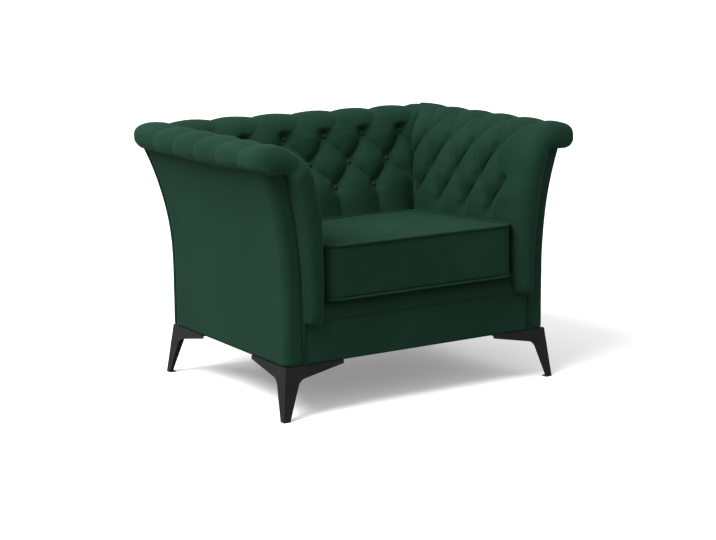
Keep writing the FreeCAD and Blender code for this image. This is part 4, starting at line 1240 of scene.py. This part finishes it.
def stuff(bm, padding):
    """Blows the cover up a little as cloth held along its seams, and limits how far it moves."""
    shrink = cushion_stand
    low = shrink + 1e-4
    high = cushion_height - shrink - 1e-4
    mesh = bpy.data.meshes.new("cushion_block")
    bm.to_mesh(mesh)
    rest = [corner.co.copy() for corner in mesh.vertices]
    out = [corner.normal.copy() for corner in mesh.vertices]
    thing = bpy.data.objects.new("cushion_block", mesh)
    bpy.context.scene.collection.objects.link(thing)
    seam = thing.vertex_groups.new(name="seam")
    half_x = cushion_half - shrink
    depth = cushion_depth()
    held = []
    for index, spot in enumerate(rest):
        edge_x = half_x - abs(spot.x)
        edge_y = min(spot.y - shrink, depth - shrink - spot.y)
        corner_zone = edge_x < cushion_corner and edge_y < cushion_corner
        if corner_zone:
            radius = cushion_corner - shrink
            on_side = math.hypot(radius - edge_x, radius - edge_y) > radius - 0.0015
        else:
            on_side = min(edge_x, edge_y) < 1e-4
        if on_side and (spot.z < low or spot.z > high):
            held.append(index)
    seam.add(held, 1.0, "REPLACE")
    cloth = thing.modifiers.new("cloth", "CLOTH")
    fabric = {
        "quality": 6, "mass": 0.25, "tension_stiffness": 12, "compression_stiffness": 12,
        "shear_stiffness": 6, "bending_stiffness": 1.5, "use_pressure": True,
        "uniform_pressure_force": 4.0, "vertex_group_mass": "seam"}
    for name, value in fabric.items():
        setattr(cloth.settings, name, value)
    cloth.settings.effector_weights.gravity = 0
    cloth.collision_settings.use_collision = False
    scene = bpy.context.scene
    cloth.point_cache.frame_start = 1
    cloth.point_cache.frame_end = padding.simulation_frames
    for number in range(1, padding.simulation_frames + 1):
        scene.frame_set(number)
    blown = thing.evaluated_get(bpy.context.evaluated_depsgraph_get()).to_mesh()
    moved = [corner.co.copy() for corner in blown.vertices]
    scene.frame_set(1)
    bpy.data.objects.remove(thing)
    bpy.data.meshes.remove(mesh)
    bm.verts.ensure_lookup_table()
    largest = max((moved[i] - rest[i]).length for i in range(len(rest)))
    for index, corner in enumerate(bm.verts):
        step = moved[index] - rest[index]
        share = min(1.0, step.length / max(largest, 1e-6))
        cap = stuffing_room(rest[index], out[index], padding)
        if step.length > 1e-7:
            corner.co = rest[index] + step.normalized() * cap * share


def stuffing_room(spot, normal, padding):
    """How far the cloth may move here: most on top, little at the sides, none below."""
    if normal.z > 0.7:
        return padding.cushion_crown * 1.25
    if normal.z < -0.7:
        return 0.0008
    return 0.0060 if normal.y < -0.5 else 0.0035


def crease_cloth(bm):
    """Small pulls and dents that a cushion's cover has beside its seams and corners."""
    depth = cushion_depth()
    for corner in bm.verts:
        spot = corner.co
        near_corner = 0.0
        for x in (-cushion_half, cushion_half):
            for y in (0.0, depth):
                gap = math.hypot(spot.x - x, spot.y - y)
                near_corner = max(near_corner, math.exp(-(gap / 0.07) ** 2))
        to_seam = min(abs(spot.z - cushion_stand), abs(cushion_height - cushion_stand - spot.z))
        upright = abs(corner.normal.z) < 0.5
        amount = unevenness(spot, 0.09, 0.0012) + unevenness(spot, 0.03, 0.0003)
        if upright:
            fold = math.sin(spot.x * 160 + spot.y * 150 + 6 * spot.z)
            amount += 0.0007 * near_corner * fold * math.exp(-to_seam / 0.03)
        spot += corner.normal * amount


def cushion_surface(padding):
    """The cushion's cover, stuffed, creased and laid on the deck."""
    bm = cushion_block(cushion_stand)
    stuff(bm, padding)
    bm.normal_update()
    crease_cloth(bm)
    for corner in bm.verts:
        corner.co = lay_down(corner.co)
    bm.normal_update()
    return bm


def foam_surface():
    """The foam core: a block with round corners, a little smaller than its cover."""
    bm = cushion_block(cushion_stand + foam_play)
    for corner in bm.verts:
        corner.co = lay_down(corner.co)
    bmesh.ops.recalc_face_normals(bm, faces=bm.faces[:])
    return bm


# Zip at the rear of the cushion

def zip_surface():
    """Tape and two rows of teeth."""
    low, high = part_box("cushion_zip")
    middle = (low + high) / 2
    half = (high.x - low.x) / 2
    columns, tooth_pitch = 120, 0.0035
    bm = grid_surface(columns, 4, lambda column, row: Vector((
        middle.x + half * (2 * column / columns - 1),
        middle.y - 0.0002 - 0.0004 * abs(row - 2) + 0.0006 * math.sin(slope) * (row - 2),
        middle.z + 0.0062 * (row - 2) / 2)))
    face_towards(bm, Vector((middle.x, middle.y - 1, middle.z)))
    bmesh.ops.solidify(bm, geom=bm.faces[:], thickness=0.0006)
    shape = Matrix.Diagonal((0.0020, 0.0013, 0.0044, 1))
    for index in range(round(2 * half / tooth_pitch)):
        x = low.x + tooth_pitch * (index + 0.5)
        lean = 0.0009 if index % 2 else -0.0009
        place = Matrix.Translation((x, middle.y + 0.0006, middle.z + lean))
        bmesh.ops.create_cube(bm, size=1.0, matrix=place @ shape)
    return bm


# Deck and underside

def deck_surface():
    """Lining stretched over the springs: it sags between them and dips at the edges."""
    low, high = deck_low, deck_high
    columns, rows = 90, 64

    def place(column, row):
        share_x = 2 * column / columns - 1
        share_y = row / rows
        x = high.x * share_x
        y = low.y + (high.y - low.y) * share_y
        z = high.z + (low.z + deck_fall - high.z) * share_y
        sag = 0.0009 * (1 - math.cos(share_x * math.pi * 5)) / 2
        edge = min(1 - abs(share_x), 2 * share_y, 2 - 2 * share_y)
        dip = 0.0012 * math.exp(-edge / 0.02)
        return Vector((x, y, z - sag - dip - abs(unevenness(Vector((x, y, 1.0)), 0.08, 0.0008))))

    bm = grid_surface(columns, rows, place)
    face_towards(bm, Vector((0, 0, 0)))
    return bm


def slab_surface(top_drop, thickness):
    """A soft layer under the deck lining, with the lining's slope."""
    low, high = deck_low, deck_high
    bm = layered_net(60, 40)
    for corner in bm.verts:
        share = corner.co.y + 0.5
        x = 2 * corner.co.x * (high.x - 0.002)
        y = low.y + 0.002 + (high.y - low.y - 0.004) * share
        top = high.z + (low.z + deck_fall - high.z) * share - top_drop
        edge = min(0.5 - abs(corner.co.x), 0.5 - abs(corner.co.y))
        soft = 0.002 * math.exp(-edge / 0.02) + unevenness(Vector((x, y, 3.0)), 0.05, 0.0005)
        corner.co = (x, y, top - soft if corner.co.z > 0.5 else top - thickness + soft)
    bmesh.ops.recalc_face_normals(bm, faces=bm.faces[:])
    return bm


def dust_surface():
    """Thin cloth tacked along the underside of the frame, slack between its tacks."""
    low, high = dust_low, dust_high
    columns, rows = 90, 66
    half_x = high.x
    half_y = (high.y - low.y) / 2
    middle_y = (high.y + low.y) / 2

    def place(column, row):
        share_x = 2 * column / columns - 1
        share_y = 2 * row / rows - 1
        x, y = round_corner(half_x * share_x, half_y * share_y, half_x, half_y, 0.028)
        edge = min((1 - abs(share_x)) * half_x, (1 - abs(share_y)) * half_y)
        slack = 0.0012 * (1 - math.exp(-edge / 0.02))
        ripple = unevenness(Vector((x, y, 2.0)), 0.07, 0.0007) * (1 - math.exp(-edge / 0.01))
        return Vector((x, middle_y + y, low.z + 0.0012 - slack * 0.6 + ripple))

    bm = grid_surface(columns, rows, place)
    face_towards(bm, Vector((0, 0, 1)))
    return bm


# Operators, one for each piece or group of like pieces

class ARMCHAIR_OT_arm_pads(bpy.types.Operator):
    """Tufted arm pads with their rolled tops and covered buttons"""
    bl_idname = "armchair.arm_pads"
    bl_label = "Arm pads and buttons"

    def execute(self, context):
        padding = context.scene.armchair_padding
        right, threads, rows = arm_surface(padding)
        left = mirror_copy(right)
        pad_piece("arm_padding_right", right, "arm_pad_right")
        pad_piece("arm_padding_left", left, "arm_pad_left")
        buttons = placed_buttons(threads, rows, arm_button_place)
        for side, bm in both_sides(buttons):
            velvet_piece("covered_buttons_" + side, bm, "trim", "arm_buttons_" + side)
        return {"FINISHED"}


class ARMCHAIR_OT_back_pad(bpy.types.Operator):
    """Tufted back pad with its rolled top and covered buttons"""
    bl_idname = "armchair.back_pad"
    bl_label = "Back pad and buttons"

    def execute(self, context):
        bm, threads, rows = back_surface(context.scene.armchair_padding)
        pad_piece("back_padding", bm, "back_pad")
        buttons = placed_buttons(threads, rows, back_button_place)
        velvet_piece("covered_buttons_back", buttons, "trim", "back_buttons")
        return {"FINISHED"}


class ARMCHAIR_OT_outer_covers(bpy.types.Operator):
    """Plain stretched velvet over the outer arms and the outer back"""
    bl_idname = "armchair.outer_covers"
    bl_label = "Outer covers"

    def execute(self, context):
        for side, bm in both_sides(arm_cover_surface()):
            piece = velvet_piece(
                "outer_arm_velvet_" + side, bm, "covers", "outer_arm_cover_" + side)
            thicken(piece, cover_cloth)
        back = velvet_piece("outer_back_velvet", back_cover_surface(), "covers", "outer_back_cover")
        thicken(back, cover_cloth)
        return {"FINISHED"}


class ARMCHAIR_OT_arm_piping(bpy.types.Operator):
    """Velvet-covered cord up each arm front and out under the roll"""
    bl_idname = "armchair.arm_piping"
    bl_label = "Arm front piping"

    def execute(self, context):
        path = [set_out(x, 0.0, z) for x, z in piping_path()]
        right = tube_mesh("piping", [path], piping_radius, False)
        for side, bm in both_sides(right):
            velvet_piece("front_piping_" + side, bm, "trim", "arm_front_piping_" + side)
        return {"FINISHED"}


class ARMCHAIR_OT_seat_front(bpy.types.Operator):
    """Front panel under the seat and the soft lip above it"""
    bl_idname = "armchair.seat_front"
    bl_label = "Front border and lip"

    def execute(self, context):
        panel = closed_extrusion(
            border_outline(), border_half + 0.0025, 110,
            lambda x, depth, height: (
                unevenness(Vector((x, 7.0, height)), 0.12, 0.0009) - seam_dip(border_half - abs(x))
                if depth < 0.003 else 0.0, 0.0))
        border = velvet_piece("front_border_velvet", panel, "covers", "front_border_cover")
        lip = closed_extrusion(
            edge_roll_outline(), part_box("front_edge_roll")[1].x + 0.006, 110,
            lambda x, depth, height: (
                unevenness(Vector((x, 9.0, height)), 0.09, 0.0012) if depth < 0.03 else 0.0,
                unevenness(Vector((x, 11.0, depth)), 0.11, 0.0008) if depth < 0.05 else 0.0))
        roll = velvet_piece("front_lip_velvet", lip, "covers", "front_edge_roll")
        return {"FINISHED"}


class ARMCHAIR_OT_cushion(bpy.types.Operator):
    """Loose seat cushion: stuffed cover, two welts and the zip at its rear"""
    bl_idname = "armchair.cushion"
    bl_label = "Seat cushion"

    def execute(self, context):
        skin = cushion_surface(context.scene.armchair_padding)
        cover = velvet_piece(
            "cushion_velvet", skin, "cushion", "seat_cushion_cover", "seat_cushion")
        soften(cover, 1)
        core = plain_piece("foam_core", foam_surface(), "foam", "cushion_foam", "seat_cushion")
        loops = []
        for height in (welt_radius, cushion_height - welt_radius):
            loops.append([lay_down(spot) for spot in welt_loop(height, welt_radius)])
        welts = tube_mesh("welts", loops, welt_radius, True)
        velvet_piece("cushion_welts", welts, "trim", "cushion_piping", "seat_cushion")
        zipper = plain_piece(
            "cushion_zipper", zip_surface(), "zip_tape", "cushion_zip", "seat_cushion")
        for face in zipper.data.polygons:
            face.use_smooth = False
        return {"FINISHED"}


class ARMCHAIR_OT_deck(bpy.types.Operator):
    """Lining over the springs and the dust cloth under the frame"""
    bl_idname = "armchair.deck"
    bl_label = "Deck and dust cloth"

    def execute(self, context):
        deck = plain_piece("deck_lining", deck_surface(), "deck_cloth", "seat_deck_cover")
        thicken(deck, deck_cloth)
        pad = plain_piece("deck_padding", slab_surface(0.005, 0.020), "foam", "deck_pad")
        net = plain_piece("jute_support", slab_surface(0.026, 0.0012), "hessian", "spring_hessian")
        dust = plain_piece("underside_cloth", dust_surface(), "dust_cloth", "dust_cover")
        thicken(dust, dust_cloth)
        return {"FINISHED"}


class ARMCHAIR_OT_frame_finishes(bpy.types.Operator):
    """Finishes of the pieces that keep the frame's own shape"""
    bl_idname = "armchair.frame_finishes"
    bl_label = "Frame, springs, legs and foam"

    def execute(self, context):
        for name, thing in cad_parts.items():
            if not thing.hide_render:
                thing.data.materials.clear()
                thing.data.materials.append(material_for(self.slot_of(name)))
        return {"FINISHED"}

    @staticmethod
    def slot_of(name):
        """The first word that is found in a node's name gives its finish."""
        words = (
            ("leg_screws", "screw_steel"), ("frame_screws", "screw_steel"),
            ("leg_glides", "glide_plastic"), ("leg_", "leg_steel"), ("spring_hessian", "hessian"),
            ("spring", "spring_steel"), ("zip_slider", "zip_metal"), ("cushion_foam", "foam"),
            ("deck_pad", "foam"), ("ribs", "plywood"), ("rear_post", "beech"),
            ("post_", "plywood"), ("dust_cover", "dust_cloth"), ("seat_deck", "deck_cloth"),
        )
        return next((slot for word, slot in words if word in name), "beech")


class ARMCHAIR_OT_stage(bpy.types.Operator):
    """Plain pale floor, soft studio light and the camera"""
    bl_idname = "armchair.stage"
    bl_label = "Studio"

    def execute(self, context):
        studio = context.scene.armchair_studio
        bm = bmesh.new()
        bmesh.ops.create_grid(bm, x_segments=1, y_segments=1, size=30)
        mesh = bpy.data.meshes.new("studio_floor")
        bm.to_mesh(mesh)
        bm.free()
        floor = bpy.data.objects.new("studio_floor", mesh)
        context.scene.collection.objects.link(floor)
        mesh.materials.append(floor_paint(studio.floor_colour))
        light_up(context.scene)
        set_camera(context.scene, studio.lens)
        context.scene.view_settings.view_transform = "Standard"
        return {"FINISHED"}


def floor_paint(colour):
    """Matt floor that the camera sees as white where no shadow falls."""
    paint = bpy.data.materials.new("pale_floor")
    paint.use_nodes = True
    nodes, links = paint.node_tree.nodes, paint.node_tree.links
    nodes.clear()
    output = nodes.new("ShaderNodeOutputMaterial")
    matt = nodes.new("ShaderNodeBsdfDiffuse")
    shade = nodes.new("ShaderNodeMix")
    shade.data_type = "RGBA"
    for socket in shade.inputs:
        if socket.type == "RGBA":
            dim = 0.5 if socket.name == "A" else 1.2
            socket.default_value = (colour[0] * dim, colour[1] * dim, colour[2] * dim, 1)
    glow = nodes.new("ShaderNodeEmission")
    rays = nodes.new("ShaderNodeLightPath")
    seen = nodes.new("ShaderNodeMath")
    seen.operation = "MAXIMUM"
    level = nodes.new("ShaderNodeMath")
    level.operation = "MULTIPLY"
    coordinates = nodes.new("ShaderNodeTexCoord")
    reach = nodes.new("ShaderNodeVectorMath")
    reach.operation = "LENGTH"
    brighter = nodes.new("ShaderNodeMapRange")
    brighter.inputs["From Min"].default_value = 1.0
    brighter.inputs["From Max"].default_value = 3.5
    brighter.inputs["To Min"].default_value = 0.20
    brighter.inputs["To Max"].default_value = 0.75
    links.new(coordinates.outputs["Object"], reach.inputs[0])
    links.new(reach.outputs["Value"], brighter.inputs["Value"])
    links.new(brighter.outputs["Result"], level.inputs[1])
    both = nodes.new("ShaderNodeAddShader")
    links.new(rays.outputs["Is Camera Ray"], shade.inputs["Factor"])
    links.new([out for out in shade.outputs if out.type == "RGBA"][0], matt.inputs["Color"])
    links.new(rays.outputs["Is Camera Ray"], seen.inputs[0])
    links.new(rays.outputs["Is Glossy Ray"], seen.inputs[1])
    links.new(seen.outputs["Value"], level.inputs[0])
    links.new(level.outputs["Value"], glow.inputs["Strength"])
    links.new(matt.outputs["BSDF"], both.inputs[0])
    links.new(glow.outputs["Emission"], both.inputs[1])
    links.new(both.outputs["Shader"], output.inputs["Surface"])
    return paint


def area_light(name, place, target, size, power):
    lamp = bpy.data.lights.new(name, "AREA")
    lamp.shape = "DISK"
    lamp.size = size
    lamp.energy = power
    thing = bpy.data.objects.new(name, lamp)
    bpy.context.scene.collection.objects.link(thing)
    thing.location = place
    thing.rotation_euler = (Vector(target) - Vector(place)).to_track_quat("-Z", "Y").to_euler()


def light_up(scene):
    """Even soft light from all round and one large lamp at the upper left."""
    world = bpy.data.worlds.new("studio")
    scene.world = world
    world.use_nodes = True
    nodes, links = world.node_tree.nodes, world.node_tree.links
    nodes.clear()
    output = nodes.new("ShaderNodeOutputWorld")
    rays = nodes.new("ShaderNodeLightPath")
    seen = nodes.new("ShaderNodeMath")
    seen.operation = "MAXIMUM"
    soft = nodes.new("ShaderNodeBackground")
    white = nodes.new("ShaderNodeBackground")
    mix = nodes.new("ShaderNodeMixShader")
    soft.inputs["Color"].default_value = (1, 1, 1, 1)
    soft.inputs["Strength"].default_value = 0.80
    white.inputs["Color"].default_value = (1, 1, 1, 1)
    white.inputs["Strength"].default_value = 1.0
    links.new(rays.outputs["Is Camera Ray"], seen.inputs[0])
    links.new(rays.outputs["Is Transmission Ray"], seen.inputs[1])
    links.new(seen.outputs["Value"], mix.inputs["Fac"])
    links.new(soft.outputs["Background"], mix.inputs[1])
    links.new(white.outputs["Background"], mix.inputs[2])
    links.new(mix.outputs["Shader"], output.inputs["Surface"])
    area_light("key_light", (-2.9, -0.6, 3.9), (0.0, 0.0, 0.4), 3.2, 372)


def set_camera(scene, lens):
    """The photograph's view point, worked out from the base's corners and the feet."""
    yaw, pitch, roll = 0.575276, 0.194408, -0.0046
    level = math.cos(pitch)
    forward = Vector((math.sin(yaw) * level, math.cos(yaw) * level, -math.sin(pitch)))
    right = Vector((math.cos(yaw), -math.sin(yaw), 0.0))
    up = right.cross(forward)
    right_rolled = right * math.cos(roll) + up * math.sin(roll)
    up_rolled = up * math.cos(roll) - right * math.sin(roll)
    camera = bpy.data.cameras.new("camera")
    camera.lens = lens
    camera.sensor_width = 36
    thing = bpy.data.objects.new("camera", camera)
    scene.collection.objects.link(thing)
    turn = Matrix((right_rolled, up_rolled, -forward)).transposed().to_4x4()
    thing.matrix_world = Matrix.Translation((-2.903829, base_front - 4.146754, 1.373365)) @ turn
    scene.camera = thing


class ARMCHAIR_PT_panel(bpy.types.Panel):
    """Buttons for the armchair's pieces"""
    bl_idname = "ARMCHAIR_PT_panel"
    bl_label = "Chesterfield armchair"
    bl_space_type = "VIEW_3D"
    bl_region_type = "UI"
    bl_category = "Armchair"

    def draw(self, context):
        layout = self.layout
        for group in ("armchair_velvet", "armchair_padding", "armchair_studio"):
            settings = getattr(context.scene, group)
            box = layout.box()
            for name in settings.bl_rna.properties.keys():
                if name not in ("rna_type", "name"):
                    box.prop(settings, name)
        for operator in operators:
            layout.operator(operator.bl_idname)


operators = (
    ARMCHAIR_OT_stage, ARMCHAIR_OT_arm_pads, ARMCHAIR_OT_back_pad, ARMCHAIR_OT_outer_covers,
    ARMCHAIR_OT_arm_piping, ARMCHAIR_OT_seat_front, ARMCHAIR_OT_cushion, ARMCHAIR_OT_deck,
    ARMCHAIR_OT_frame_finishes,
)
groups = {
    "armchair_velvet": ARMCHAIR_PG_velvet,
    "armchair_padding": ARMCHAIR_PG_padding,
    "armchair_studio": ARMCHAIR_PG_studio,
}


def register():
    for group in groups.values():
        bpy.utils.register_class(group)
    for name, group in groups.items():
        setattr(bpy.types.Scene, name, PointerProperty(type=group))
    for operator in operators:
        bpy.utils.register_class(operator)
    bpy.utils.register_class(ARMCHAIR_PT_panel)


def unregister():
    bpy.utils.unregister_class(ARMCHAIR_PT_panel)
    for operator in reversed(operators):
        bpy.utils.unregister_class(operator)
    for name in groups:
        delattr(bpy.types.Scene, name)
    for group in reversed(list(groups.values())):
        bpy.utils.unregister_class(group)


def main():
    register()
    for operator in operators:
        group, name = operator.bl_idname.split(".")
        getattr(getattr(bpy.ops, group), name)()


if __name__ == "__main__":
    main()
